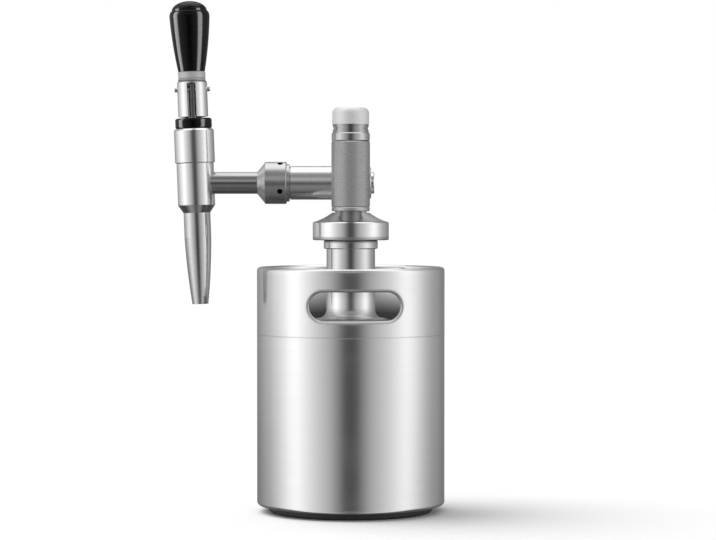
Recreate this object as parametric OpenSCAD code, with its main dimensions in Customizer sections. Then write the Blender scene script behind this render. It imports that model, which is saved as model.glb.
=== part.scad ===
// Nitro cold brew keg: a small steel keg with a screw cap, a holder for a gas charger
// and a stout tap on a side arm.
// The origin is on the keg's axis, on the table. +Z is up, -Y faces the viewer and the
// tap hangs over -X. Lengths are in millimetres.

/* [Keg] */
// Outer diameter of the keg
keg_d = 135; // [125:1:150]
// Thickness of the keg's sheet steel
sheet_t = 1; // [0.8:0.1:1.5]
// Height of the wall, from the foot ring up to the weld seam
wall_h = 123; // [90:1:180]
// Radius of the wall's lower edge
bottom_r = 2.5; // [2:0.5:10]
// Rise of the dome from the seam to the neck
dome_rise = 11; // [8:0.5:18]
// Length of the dome's weld flange
flange_h = 4; // [2:0.5:8]
// Rise of the dish in the middle of the base
dish_rise = 4; // [2:0.5:8]
// Bevel on both edges of the weld seam
seam_bevel = 0.4; // [0.2:0.1:0.6]

/* [Foot ring] */
// Height of the foot ring
foot_h = 5; // [3:0.5:10]
// Width of the foot ring's tread
foot_w = 8; // [5:0.5:12]
// Distance from the flat of the bottom's edge in to the foot ring
foot_inset = 6; // [2:0.5:10]
// Rounding of the foot ring's lower edges
foot_round = 1.5; // [0.5:0.1:2]

/* [Handle collar] */
// Height of the handle collar, from the weld seam up to the rim
collar_h = 48; // [42:1:70]
// Radius of the collar's rolled rim
rim_r = 2.5; // [2:0.1:4]
// Length of the rolled rim's inner edge
rim_tail = 1.5; // [0.5:0.1:4]
// Width of the hand slot, over its round ends
slot_w = 64; // [50:0.5:76]
// Height of the hand slot
slot_h = 20; // [16:0.5:28]
// Height of the slot's middle above the weld seam
slot_rise = 21.8; // [18:0.1:28]
// Turn of the slot about the keg's axis, in degrees
slot_turn = 3; // [-20:1:20]
// Depth of the slot's folded lip
lip_depth = 3; // [1.5:0.5:5]

/* [Neck] */
// Outer diameter of the neck
neck_d = 35; // [32:0.5:38]
// Wall of the neck
neck_t = 1.5; // [1:0.1:2.5]
// Height of the neck's ring above the rim
neck_rise = 13; // [8:0.5:30]
// Diameter of the neck's ring
neck_ring_d = 39; // [38:0.5:46]
// Height of the neck's ring
neck_ring_h = 6; // [3:0.5:10]
// Outer diameter of the neck's thread
thread_d = 36; // [34:0.5:38]
// Length of the neck that is welded in below the dome's edge
neck_tuck = 3; // [2:0.5:8]
// Radius of the hollow flare at the neck's foot
flare_r = 6.5; // [4:0.5:8]
// Thickness of the flare's outer edge
flare_edge = 0.6; // [0.4:0.1:1]

/* [Cap] */
// Diameter of the cap's skirt
cap_d = 54.8; // [52:0.2:64]
// Height of the cap's skirt
skirt_h = 13; // [12:0.5:20]
// Height of the cap's shoulder above the skirt
cone_h = 6.7; // [4:0.1:12]
// Diameter of the flat on top of the shoulder
cone_top_d = 27; // [22:0.5:34]
// Hollow of the shoulder below a straight cone
cone_sag = 0.7; // [0.2:0.1:1]
// Thickness of the cap's roof below the top of the skirt
roof_drop = 0.3; // [0.2:0.1:1.5]
// Thickness of the cap's gasket
gasket_t = 2; // [1:0.1:4]
// Bevel on the edges of turned pieces
edge_bevel = 0.6; // [0.2:0.1:1]
// Height of the two bosses above the shoulder's flat
boss_step = 1; // [0.5:0.1:4]
// Diameter of the gas boss at the front
gas_boss_d = 15.5; // [14:0.1:18]
// Distance from the keg's axis forward to the gas boss
gas_offset = 17.5; // [16.5:0.1:19]
// Diameter of the drink boss at the back
drink_boss_d = 23; // [20:0.2:25]
// Distance from the keg's axis back to the drink boss and the arm
arm_offset = 10; // [9.5:0.1:11]

/* [Charger and holder] */
// Diameter of the gas charger
charger_d = 18.5; // [16:0.1:18.8]
// Length of the gas charger
charger_l = 65; // [60:0.5:75]
// Diameter of the charger's neck
charger_neck_d = 8.8; // [7:0.1:9.5]
// Length of the charger's neck
charger_neck_l = 9; // [7:0.1:12]
// Wall of the charger
charger_t = 1.2; // [0.8:0.1:2]
// Diameter of the gas post that the holder screws on
post_d = 20.8; // [19.6:0.1:21.6]
// Height of the gas post above its boss
post_h = 11; // [9:0.1:13]
// Height of the charger's seat above the gas boss
seat_rise = 5.5; // [5:0.1:7]
// Thickness of the seal under the charger
charger_seal_t = 1.2; // [0.8:0.1:2]
// Diameter of the piercing pin
pin_d = 2.4; // [1.8:0.1:3]
// Length of the piercing pin inside the charger
pin_reach = 3; // [2:0.1:5]
// Width of the step at the pin's root
pin_root_step = 0.8; // [0.4:0.1:1.5]
// Thickness of the post's floor under the pin
pin_floor_t = 1; // [0.5:0.1:2]
// Wall of the hollow pin
pin_wall = 0.6; // [0.4:0.05:0.8]
// Diameter of the post's spigot in the gas boss
post_spigot_d = 8; // [6:0.1:10]
// Length of that spigot
post_spigot_l = 4; // [3:0.1:5]
// Diameter of the gas drillings
gas_bore_d = 2; // [1:0.1:2.4]
// Thickness of the check flap
flap_t = 0.8; // [0.5:0.1:1.2]
// Gap round the check flap
flap_gap = 0.4; // [0.2:0.1:1]
// Diameter of the holder's plain rings
holder_d = 27.2; // [26:0.1:29]
// Diameter of the holder's knurled grip
grip_d = 27.5; // [26.6:0.1:29.2]
// Wall of the knurled grip
grip_t = 1.3; // [1:0.1:1.6]
// Height of the plain ring below the grip
holder_ring_h = 3; // [2:0.1:8]
// Height of the bead above the grip
bead_h = 6; // [3:0.1:8]
// Height of the grooved band above the bead
band_h = 6.1; // [4:0.1:9]
// Depth of the groove in that band
groove_depth = 0.6; // [0.3:0.1:0.9]
// Diameter of the holder's domed cap
dome_cap_d = 26.3; // [25:0.1:28]
// Height of the holder's domed cap
dome_cap_h = 11.8; // [9:0.1:16]
// Radius of the domed cap's upper edge
dome_cap_r = 4; // [2:0.1:6]
// Thickness of the domed cap's roof
dome_cap_t = 2.3; // [1.5:0.1:4]
// Thickness of the rubber pad above the charger
pad_t = 0.7; // [0.5:0.1:2]

/* [Arm] */
// Diameter of the arm
arm_d = 24.2; // [22:0.1:25]
// Height of the arm's axis above the bosses
arm_rise = 20.4; // [18:0.1:30]
// Length of the arm to the left of the keg's axis
arm_left = 44; // [36:0.5:60]
// Length of the arm to the right of the keg's axis
arm_right = 12.2; // [12:0.1:16]
// Diameter of the upright under the arm
upright_d = 22; // [18:0.1:23]
// Diameter of the upright's spigot in the cap
spigot_d = 16; // [15:0.1:18]
// Length of that spigot
spigot_l = 4.5; // [3:0.1:5.5]
// Thickness of the seal under the spigot
spigot_seal_t = 1; // [0.5:0.1:1.5]
// Outer diameter of the dip tube
dip_d = 8; // [6:0.1:9]
// Wall of the dip tube
dip_t = 1; // [0.6:0.1:1.5]
// Gap between the dip tube and the keg's base
dip_gap = 6; // [3:0.5:20]
// Length of the dip tube inside its socket
dip_socket_l = 5; // [3:0.1:6]
// Width of the gas way round the dip tube
gas_way = 2.5; // [1.5:0.1:2.8]
// Diameter of the drink's bore in the arm and the shank
drink_bore_d = 10; // [7:0.1:11]

/* [Vent valve] */
// Diameter of the vent button
button_d = 15.5; // [13:0.1:16]
// Length of the vent button outside its bush
button_proud = 2.2; // [1.6:0.1:5]
// Thickness of the vent button's head
button_t = 2.7; // [2:0.1:4]
// Diameter of the vent bush's flange
bush_d = 22.5; // [20:0.1:24]
// Thickness of the vent bush's flange
bush_t = 2.5; // [2:0.1:4]
// Length of the vent bush inside the arm
bush_l = 3.6; // [3:0.1:5]
// Wall of the vent bush inside the arm
bush_wall = 0.7; // [0.5:0.1:1]
// Thickness of the vent bush's floor
bush_floor_t = 2; // [1.5:0.1:2.5]
// Diameter of the vent's poppet
poppet_d = 9; // [8:0.1:11]
// Thickness of the vent's poppet
poppet_t = 1; // [0.8:0.1:1.2]
// Thickness of the poppet's floor behind the stem
poppet_floor_t = 0.2; // [0.2:0.05:0.4]
// Thickness of the vent's washer
vent_washer_t = 0.3; // [0.2:0.05:0.5]
// Width of the gas way round the vent's stem
vent_gap = 0.4; // [0.2:0.05:0.8]
// Diameter of the vent's stem
vent_stem_d = 4.4; // [3:0.1:5]
// Travel of the vent button
vent_travel = 1.4; // [1:0.1:1.5]
// Mean diameter of the vent spring
vent_coil_d = 8.8; // [7:0.1:12]
// Diameter of the vent spring's wire
vent_wire_d = 0.5; // [0.3:0.05:0.6]
// Turns of the vent spring
vent_turns = 3; // [2:1:3]

/* [Nut and shank] */
// Diameter of the collar nut
nut_d = 30.4; // [29:0.1:34]
// Length of the collar nut's full diameter
nut_l = 15.3; // [12:0.1:20]
// Diameter of the collar nut's lip
nut_lip_d = 27; // [25:0.1:28.6]
// Length of the collar nut's lip
nut_lip_l = 2; // [1:0.1:4]
// Diameter of the collar nut's nose
nose_d = 17.6; // [17.2:0.1:22]
// Length of the collar nut's nose
nose_l = 5.8; // [4:0.1:9]
// Diameter of the collar nut's spanner holes
spanner_d = 4; // [3:0.1:5]
// Depth of the spanner holes
spanner_depth = 3; // [1:0.1:3.4]
// Distance of the spanner holes from the nut's lip
spanner_inset = 4.6; // [3:0.1:9]
// Turn of the first spanner hole from the top towards the front, in degrees
spanner_angle = 24; // [0:1:90]
// Number of spanner holes
spanner_count = 4; // [3:1:6]
// Diameter of the arm's thread inside the nut
arm_thread_d = 22; // [19:0.1:23]
// Outer diameter of the shank
shank_d = 15.7; // [13:0.1:16.4]
// Diameter of the shank's flange inside the nut
shank_flange_d = 21.8; // [18.6:0.1:22]
// Thickness of the shank's flange
shank_flange_t = 1.7; // [1:0.1:2.4]
// Wall between the shank's end and the valve chamber
shank_wall = 2.5; // [1.5:0.1:3.5]
// Thickness of the washer at the shank's flange
washer_t = 1.3; // [0.8:0.1:2]

/* [Tap body] */
// Distance from the keg's axis to the tap
tap_reach = 112; // [100:0.5:130]
// Lean of the tap away from the keg, in degrees
tap_lean = 2.1; // [0:0.1:6]
// Diameter of the tap's body
body_d = 26.8; // [25:0.1:29]
// Length of the body above the arm's axis
body_high = 14.5; // [12:0.1:20]
// Length of the body below the arm's axis
body_low = 21.5; // [20:0.1:30]
// Length of the taper at the body's lower end
body_taper = 5.5; // [2:0.1:7]
// Diameter of the body's valve chamber
chamber_d = 14; // [13.4:0.1:15]
// Diameter of the seat bore below the chamber
seat_bore_d = 16; // [15.6:0.1:17]
// Length of the seat bore
seat_bore_l = 8.5; // [8:0.1:10]
// Diameter of the bonnet above the body
bonnet_d = 28.8; // [26:0.1:32]
// Height of the bonnet
bonnet_h = 24.6; // [18:0.1:34]
// Diameter of the bonnet's spigot in the body
bonnet_spigot_d = 18; // [16:0.1:20]
// Length of that spigot
bonnet_spigot_l = 5; // [3:0.1:6]
// Diameter of the cam ring under the lever
cam_ring_d = 26.4; // [22:0.1:28]
// Height of the cam ring
cam_ring_h = 7.6; // [5:0.1:10]
// Rounding of the cam ring's edges
cam_ring_round = 1.6; // [0.5:0.1:2.4]

/* [Nozzle] */
// Length of the nozzle
nozzle_l = 66; // [50:0.5:80]
// Diameter of the nozzle's upper end
nozzle_top_d = 19.4; // [18.4:0.1:22]
// Diameter of the nozzle's tip
nozzle_tip_d = 11.6; // [10:0.1:14]
// Length of the nozzle's straight upper part
nozzle_straight = 18; // [17:0.5:30]
// Outward swell of the nozzle's taper beyond a straight cone
nozzle_swell = 0.6; // [0.2:0.1:1]
// Diameter of the nozzle's bore at the tip
nozzle_bore_d = 8.6; // [7:0.1:9]
// Diameter of the nozzle's bore at the flow straightener
straightener_d = 12; // [10:0.1:12.6]
// Length of the flow straightener
straightener_l = 12; // [8:0.5:14]
// Length of the bore's taper below the flow straightener
bore_taper_l = 4; // [2:0.5:10]
// Thickness of the flow straightener's wall and vanes
vane_t = 0.8; // [0.5:0.1:1.2]
// Thickness of the restrictor plate
plate_t = 1; // [0.5:0.1:1.5]
// Diameter of each hole in the restrictor plate
jet_d = 1.2; // [0.8:0.1:2]
// Number of holes in the restrictor plate
jet_count = 5; // [3:1:8]
// Thickness of the valve's seat ring
seat_t = 3; // [2:0.1:4]
// Diameter of the opening in the seat ring
seat_hole_d = 8; // [6:0.1:9]

/* [Lever] */
// Diameter of the valve's stem
stem_d = 5.5; // [4.5:0.1:6]
// Wall of the stem's eye above the pivot pin
eye_wall = 1.1; // [0.8:0.1:1.3]
// Thickness of the packing round the stem
packing_t = 2.2; // [1.5:0.1:3]
// Clearance of the stem in the cam ring
cam_ring_gap = 1.5; // [0.5:0.1:3]
// Diameter of the valve's plug
plug_d = 12; // [10.4:0.1:12.6]
// Height of the valve's plug
plug_h = 4; // [3:0.1:6]
// Diameter of the lever's yoke
yoke_d = 21.6; // [18:0.1:24]
// Height of the lever's yoke
yoke_h = 26.2; // [24:0.1:34]
// Clearance between the stem and the yoke's slot, on each side
slot_clear = 0.35; // [0.3:0.05:1]
// Height of the pivot pin above the yoke's foot
pivot_rise = 20.5; // [19:0.1:21]
// Diameter of the pivot pin
pivot_d = 3.5; // [2.5:0.1:3.6]
// Length of each end of the pivot pin outside the yoke
pivot_proud = 2; // [1:0.1:4]
// Bevel on the pivot pin's ends
pin_bevel = 0.3; // [0.1:0.05:0.6]
// Radius of the flat under the yoke's foot
foot_flat_r = 5.2; // [4:0.1:5.4]
// Rise of the cam bevel from that flat to the yoke's edge
cam_rise = 0.8; // [0.7:0.1:2]
// Diameter of the ferrule under the handle
ferrule_d = 19.8; // [17:0.1:22]
// Height of the ferrule
ferrule_h = 7.2; // [4:0.1:12]
// Diameter of the stud inside the handle
stud_d = 8; // [6:0.1:10]
// Length of the stud inside the handle
stud_l = 20; // [12:0.5:30]
// Diameter of the handle at its base
knob_base_d = 19.2; // [16:0.1:22]
// Largest diameter of the handle
knob_d = 29; // [24:0.1:36]
// Height of the handle
knob_h = 50.8; // [40:0.5:70]
// Height of the handle's widest part above its base
knob_wide_rise = 39.5; // [30:0.5:42]
// Height of the handle's rounded shoulder
knob_shoulder_h = 4; // [2:0.5:6]
// Diameter of the handle's crown, inside the shoulder
knob_crown_d = 25.6; // [18:0.2:27]
// Outward swell of the handle's side beyond a straight cone
knob_swell = 0.7; // [0.2:0.1:2]

/* [Clearances] */
// Radial clearance of fixed pieces in their seats
seat_fit = 0.05; // [0.02:0.01:0.1]
// Radial clearance of pieces that turn or slide in each other
run_fit = 0.08; // [0.03:0.01:0.1]
// Gap between pieces that lift off each other
lift_gap = 0.3; // [0.2:0.05:0.5]

/* [Hidden] */
$fn = 96;
// Overlap of joined solids, and overshoot of cutting ones
eps = 0.01;
over = 1;

// Heights and radii of the keg
keg_r = keg_d / 2;
inner_r = keg_r - sheet_t;
seam_z = foot_h + wall_h;
rim_z = seam_z + collar_h;
slot_z = seam_z + slot_rise;
flat_r = keg_r - bottom_r;
base_lap = foot_inset + foot_w;
neck_r = neck_d / 2;
neck_bore_r = neck_r - neck_t;
thread_r = thread_d / 2;
neck_top_weld_z = seam_z + dome_rise;
neck_ring_z = rim_z + neck_rise;

// The dome is part of a sphere through the seam and the foot of the neck
dome_edge_r = inner_r - seat_fit;
dome_hole_r = neck_r + seat_fit;
dome_span = pow(dome_edge_r, 2) - pow(dome_hole_r, 2);
dome_mid_z = seam_z + dome_rise / 2 - dome_span / (2 * dome_rise);
dome_sphere_r = norm([dome_edge_r, seam_z - dome_mid_z]);
// The neck's flared foot stands on the dome
flare_foot_r = neck_r + flare_r;
flare_z = dome_mid_z + sqrt(pow(dome_sphere_r, 2) - pow(flare_foot_r, 2)) + flare_edge;

// The base's dish is part of a sphere too
dish_r = flat_r - base_lap - 2 * sheet_t;
dish_sphere_r = (pow(dish_r, 2) + pow(dish_rise, 2)) / (2 * dish_rise);
base_z = foot_h + sheet_t;
base_top_z = base_z + sheet_t + dish_rise;

// Heights of the cap
cap_z = neck_ring_z + neck_ring_h + lift_gap;
shoulder_z = cap_z + skirt_h;
roof_z = shoulder_z - roof_drop;
neck_top_z = roof_z - gasket_t;
cap_bore_r = thread_r + lift_gap;
cone_top_z = shoulder_z + cone_h;
boss_z = cone_top_z + boss_step;

// The shoulder's hollow is an arc through the skirt's edge and the flat's edge
cone_run = cap_d / 2 - edge_bevel - cone_top_d / 2;
cone_chord = norm([cone_run, cone_h]);
cone_arc_r = pow(cone_chord, 2) / (8 * cone_sag) + cone_sag / 2;
cone_arc_mid = [
    cone_top_d / 2 + cone_run / 2 + cone_h / cone_chord * (cone_arc_r - cone_sag),
    shoulder_z + cone_h / 2 + cone_run / cone_chord * (cone_arc_r - cone_sag)
];

// Gas post, charger and holder, stacked on the gas boss
post_r = post_d / 2;
post_top_z = boss_z + post_h;
charger_z = boss_z + seat_rise;
charger_top_z = charger_z + charger_l;
recess_z = charger_z - charger_seal_t;
recess_r = charger_neck_d / 2 + lift_gap;
pin_root_r = pin_d / 2 + pin_root_step;
pin_root_z = boss_z + pin_floor_t;
post_spigot_r = post_spigot_d / 2;
gas_bore_r = gas_bore_d / 2;
flap_z = boss_z - post_spigot_l - flap_t;
drill_run = gas_offset - neck_bore_r + 3 * gas_bore_r;
pierced_r = pin_d / 2 + lift_gap;
charger_r = charger_d / 2;
charger_bend = charger_r - charger_neck_d / 2;
charger_shoulder_z = charger_z + charger_neck_l + charger_bend;
holder_bore_r = charger_r + lift_gap;
holder_thread_r = post_r + run_fit;
holder_top_z = charger_top_z + lift_gap + pad_t + dome_cap_t;
dome_cap_z = holder_top_z - dome_cap_h;
band_z = dome_cap_z - band_h;
bead_z = band_z - bead_h;
grip_z = boss_z + holder_ring_h;
grip_core_r = grip_d / 2 - grip_t - seat_fit;
ceiling_z = holder_top_z - dome_cap_t;

// The arm
arm_r = arm_d / 2;
arm_z = boss_z + arm_rise;
spigot_z = boss_z - spigot_l;
spigot_floor_z = spigot_z - spigot_seal_t;
dip_r = dip_d / 2;
gas_way_r = dip_r + gas_way;
gas_way_top_z = arm_z - arm_r - lift_gap;
dip_top_z = gas_way_top_z + dip_socket_l;
dip_foot_z = base_top_z + dip_gap;
drink_r = drink_bore_d / 2;
web_x = dip_r - dip_t;
arm_thread_l = nut_lip_l + nut_l - shank_flange_t - washer_t - lift_gap;
arm_end_x = -arm_left - arm_thread_l;

// The vent valve, along the arm's right end
vent_r = button_d / 2 + run_fit;
bush_r = vent_r + bush_wall;
bush_x = arm_right - bush_l;
bush_face_x = arm_right + bush_t;
button_x = bush_face_x + button_proud - button_t;
poppet_x = bush_x - vent_washer_t - poppet_t;
poppet_floor_x = poppet_x + poppet_floor_t;
vent_chamber_x = poppet_x - vent_travel - lift_gap;
spring_floor_x = bush_x + bush_floor_t;
spring_coil_r = vent_coil_d / 2;
vent_hole_r = vent_stem_d / 2 + vent_gap;

// The collar nut and the shank, along the arm's left end
nut_right_x = -arm_left - lift_gap;
nut_lip_x = nut_right_x - nut_lip_l;
nut_body_x = nut_lip_x - nut_l;
nut_nose_x = nut_body_x - nose_l;
shank_r = shank_d / 2;
shank_flange_x = arm_end_x - washer_t - shank_flange_t;
spanner_x = nut_lip_x - spanner_inset;
shank_seat = chamber_d / 2 + shank_wall;

// Heights along the tap, from the arm's axis
body_r = body_d / 2;
bonnet_top = body_high + bonnet_h;
cam_top = bonnet_top + cam_ring_h;
yoke_foot = cam_top + lift_gap;
yoke_top = yoke_foot + yoke_h;
pivot_at = yoke_foot + pivot_rise;
ferrule_top = yoke_top + ferrule_h;
knob_top = ferrule_top + knob_h;
seat_top = -body_low + seat_bore_l;
seat_foot = seat_top - seat_t;
plate_foot = seat_foot - plate_t;
nozzle_tip = -body_low - nozzle_l;
plug_top = seat_top + plug_h;
stem_r = stem_d / 2;
guide_r = stem_r + run_fit;
packing_r = stem_r + packing_t;
packing_h = bonnet_spigot_l - packing_t / 2;
eye_r = pivot_d / 2 + run_fit;
stem_top = pivot_at + eye_r + eye_wall;
swing_r = norm([stem_r, stem_top - pivot_at]) + lift_gap;

// A turned piece, from its outline in radius and height
module turned(outline) {
    rotate_extrude() polygon(outline);
}

// A flat ring between two radii and two heights
module ring(r_in, r_out, low, high) {
    turned([[r_in, low], [r_out, low], [r_out, high], [r_in, high]]);
}

// A ring whose outer edges are bevelled
module bevelled_ring(r_in, r_out, low, high, bevel) {
    turned([
        [r_in, low], [r_out - bevel, low], [r_out, low + bevel],
        [r_out, high - bevel], [r_out - bevel, high], [r_in, high]
    ]);
}

// An outline with two round ends
module stadium(w, h) {
    square([w - h, h], center = true);
    for (side = [-1, 1])
        translate([side * (w - h) / 2, 0]) circle(d = h);
}

// A quarter of a disc, below and to the right of its centre
module quarter_disc(r) {
    intersection() {
        circle(r = r);
        translate([0, -r]) square(r);
    }
}

// A stadium pushed into the handle collar from the front
module slot_prism(grow) {
    rotate([0, 0, slot_turn])
        translate([0, 0, slot_z])
            rotate([90, 0, 0])
                linear_extrude(height = keg_d)
                    stadium(slot_w + 2 * grow, slot_h + 2 * grow);
}

// Places what is turned about the gas boss, the arm's axis, or the leaning tap
module at_gas() {
    translate([0, -gas_offset, 0]) children();
}

module along_arm() {
    translate([0, arm_offset, arm_z]) rotate([0, 90, 0]) children();
}

module at_tap() {
    translate([-tap_reach, arm_offset, arm_z]) rotate([0, -tap_lean, 0]) children();
}

// A band of sheet between two spheres, turned about the axis
module spherical_band(sphere_r, mid_z, r_in, r_out) {
    rotate_extrude()
        intersection() {
            translate([0, mid_z])
                difference() {
                    circle(r = sphere_r, $fn = 360);
                    circle(r = sphere_r - sheet_t, $fn = 360);
                }
            translate([r_in, mid_z + sphere_r / 2]) square([r_out - r_in, sphere_r]);
        }
}

module foot_ring() {
    color("#1d1d1f")
        turned([
            [flat_r - base_lap, foot_round],
            [flat_r - base_lap + foot_round, 0],
            [flat_r - foot_inset - foot_round, 0],
            [flat_r - foot_inset, foot_round],
            [flat_r - foot_inset, foot_h],
            [flat_r - base_lap, foot_h]
        ]);
}

// The dished floor, lapped over the wall's inward flange
module keg_base() {
    color("#b9bcc0") {
        ring(dish_r - sheet_t, flat_r, base_z, base_z + sheet_t);
        spherical_band(dish_sphere_r, base_top_z - dish_sphere_r, 0, dish_r);
    }
}

// The wall, with its round lower edge and the flange under the base
module keg_wall() {
    color("#c9ccd0") {
        turned([
            [inner_r, foot_h + bottom_r], [keg_r, foot_h + bottom_r],
            [keg_r, seam_z - seam_bevel], [keg_r - seam_bevel, seam_z],
            [inner_r, seam_z]
        ]);
        rotate_extrude()
            intersection() {
                translate([flat_r, foot_h + bottom_r])
                    difference() {
                        circle(r = bottom_r);
                        circle(r = bottom_r - sheet_t);
                    }
                translate([flat_r, foot_h]) square(bottom_r);
            }
        ring(flat_r - base_lap, flat_r, foot_h, base_z);
    }
}

// The dome that closes the keg inside the handle collar
module keg_dome() {
    color("#b9bcc0") {
        spherical_band(dome_sphere_r, dome_mid_z, dome_hole_r, dome_edge_r);
        ring(dome_edge_r - sheet_t, dome_edge_r, seam_z - flange_h, seam_z - sheet_t / 2);
    }
}

// The neck, with its flared foot, its ring and the core of its thread
module keg_neck() {
    ring_r = neck_ring_d / 2;
    ring_top = neck_ring_z + neck_ring_h;
    wall_mid_r = neck_r - neck_t / 2;
    color("#b9bcc0") {
        turned([
            [neck_bore_r, neck_top_weld_z - neck_tuck], [neck_r, neck_top_weld_z - neck_tuck],
            [neck_r, neck_ring_z], [ring_r - edge_bevel, neck_ring_z],
            [ring_r, neck_ring_z + edge_bevel], [ring_r, ring_top - edge_bevel],
            [ring_r - edge_bevel, ring_top], [thread_r, ring_top],
            [thread_r, neck_top_z - edge_bevel], [thread_r - edge_bevel, neck_top_z],
            [neck_bore_r, neck_top_z]
        ]);
        rotate_extrude()
            difference() {
                translate([wall_mid_r, seam_z])
                    square([flare_foot_r - wall_mid_r, flare_z + flare_r - seam_z]);
                translate([0, dome_mid_z]) circle(r = dome_sphere_r + seat_fit, $fn = 360);
                translate([flare_foot_r, flare_z + flare_r]) circle(r = flare_r);
            }
    }
}

// The collar above the seam: rolled rim, and a hand slot in front with a folded lip
module handle_collar() {
    color("#c9ccd0")
        difference() {
            union() {
                turned([
                    [inner_r, seam_z], [keg_r - seam_bevel, seam_z],
                    [keg_r, seam_z + seam_bevel], [keg_r, rim_z - rim_r],
                    [inner_r, rim_z - rim_r]
                ]);
                rotate_extrude()
                    translate([keg_r - rim_r, rim_z - rim_r])
                        intersection() {
                            difference() {
                                circle(r = rim_r);
                                circle(r = rim_r - sheet_t);
                            }
                            translate([-rim_r, 0]) square([2 * rim_r, rim_r]);
                        }
                ring(
                    keg_r - 2 * rim_r, keg_r - 2 * rim_r + sheet_t,
                    rim_z - rim_r - rim_tail, rim_z - rim_r
                );
                intersection() {
                    slot_prism(sheet_t);
                    ring(inner_r - lip_depth, keg_r - sheet_t / 2, seam_z, rim_z - rim_r);
                }
            }
            slot_prism(0);
        }
}

// The screw cap: skirt, hollow shoulder, a gas boss in front and a drink boss behind
module cap() {
    skirt_r = cap_d / 2;
    color("#b9bcc0")
        difference() {
            union() {
                rotate_extrude()
                    difference() {
                        polygon([
                            [0, cap_z], [skirt_r - edge_bevel, cap_z],
                            [skirt_r, cap_z + edge_bevel], [skirt_r, shoulder_z - edge_bevel],
                            [skirt_r - edge_bevel, shoulder_z], [cone_top_d / 2, cone_top_z],
                            [0, cone_top_z]
                        ]);
                        translate(cone_arc_mid) circle(r = cone_arc_r, $fn = 360);
                    }
                at_gas() ring(0, gas_boss_d / 2, roof_z, boss_z);
                translate([0, arm_offset, 0]) ring(0, drink_boss_d / 2, roof_z, boss_z);
            }
            ring(0, cap_bore_r, cap_z - eps, roof_z);
            at_gas() ring(0, post_spigot_r + seat_fit, flap_z, boss_z + eps);
            translate([0, -gas_offset, flap_z + eps])
                rotate([180 + atan2(drill_run, flap_z - roof_z), 0, 0])
                    cylinder(r = gas_bore_r, h = norm([drill_run, flap_z - roof_z]) + 2 * gas_bore_r);
            translate([0, arm_offset, 0]) {
                ring(0, spigot_d / 2 + seat_fit, spigot_floor_z, boss_z + eps);
                ring(0, gas_way_r, roof_z - eps, boss_z);
            }
        }
}

module cap_gasket() {
    color("#2b2b2d") ring(neck_bore_r, thread_r, neck_top_z, roof_z);
}

// The post that the holder screws on, with a recess for the charger's neck
module gas_post() {
    color("#a9adb2")
        at_gas()
            turned([
                [gas_bore_r, boss_z - post_spigot_l], [post_spigot_r, boss_z - post_spigot_l],
                [post_spigot_r, boss_z], [post_r - edge_bevel, boss_z],
                [post_r, boss_z + edge_bevel], [post_r, post_top_z - edge_bevel],
                [post_r - edge_bevel, post_top_z], [recess_r, post_top_z],
                [recess_r, recess_z], [pin_root_r + seat_fit, recess_z],
                [pin_root_r + seat_fit, pin_root_z], [gas_bore_r, pin_root_z]
            ]);
}

// The hollow pin that pierces the charger
module piercing_pin() {
    tip_z = charger_z + pin_reach;
    bore_r = pin_d / 2 - pin_wall;
    color("#d4d6d9")
        at_gas()
            turned([
                [bore_r, pin_root_z], [pin_root_r, pin_root_z],
                [pin_root_r, recess_z], [pin_d / 2, recess_z],
                [pin_d / 2, tip_z - pin_d / 2], [bore_r + pin_wall / 6, tip_z], [bore_r, tip_z]
            ]);
}

module charger_seal() {
    color("#2b2b2d")
        at_gas() ring(pin_d / 2 + lift_gap, recess_r - lift_gap, recess_z, charger_z);
}

// The rubber flap that lets gas into the keg and not back
module check_flap() {
    color("#2b2b2d") at_gas() ring(0, post_spigot_r - flap_gap, flap_z, flap_z + flap_t);
}

// The upright and the side arm: drink leaves to the left, gas reaches the vent at the right
module arm() {
    color("#b9bcc0")
        difference() {
            union() {
                translate([0, arm_offset, 0]) {
                    ring(0, spigot_d / 2, spigot_z, boss_z);
                    ring(0, upright_d / 2, boss_z, arm_z);
                }
                along_arm() {
                    bevelled_ring(0, arm_r, -arm_left, arm_right, edge_bevel);
                    ring(0, arm_thread_d / 2, arm_end_x, -arm_left + 2 * edge_bevel);
                }
            }
            translate([0, arm_offset, 0]) {
                ring(0, gas_way_r, spigot_z - eps, gas_way_top_z);
                ring(0, dip_r + seat_fit, gas_way_top_z - eps, dip_top_z);
                ring(0, dip_r - dip_t, dip_top_z - eps, arm_z);
            }
            along_arm() {
                ring(0, drink_r, arm_end_x - eps, web_x);
                ring(0, bush_r + seat_fit, vent_chamber_x, arm_right + eps);
            }
            translate([gas_way_r - gas_bore_r, arm_offset, gas_way_top_z - 2 * gas_bore_r])
                rotate([0, atan2(vent_chamber_x - gas_way_r + 3 * gas_bore_r, arm_r / 2), 0])
                    cylinder(r = gas_bore_r, h = arm_r * 2 / 3);
        }
}

module arm_seal() {
    color("#2b2b2d")
        translate([0, arm_offset, 0])
            ring(gas_way_r, spigot_d / 2, spigot_floor_z, spigot_z);
}

module dip_tube() {
    color("#c4c7ca")
        translate([0, arm_offset, 0]) ring(dip_r - dip_t, dip_r, dip_foot_z, dip_top_z);
}

// The threaded bush that guides the vent button and holds the vent's seat
module vent_bush() {
    color("#b9bcc0")
        along_arm()
            turned([
                [vent_hole_r, bush_x], [bush_r, bush_x], [bush_r, arm_right],
                [bush_d / 2, arm_right], [bush_d / 2, bush_face_x - edge_bevel],
                [bush_d / 2 - edge_bevel, bush_face_x], [vent_r, bush_face_x],
                [vent_r, spring_floor_x], [vent_hole_r, spring_floor_x]
            ]);
}

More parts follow.
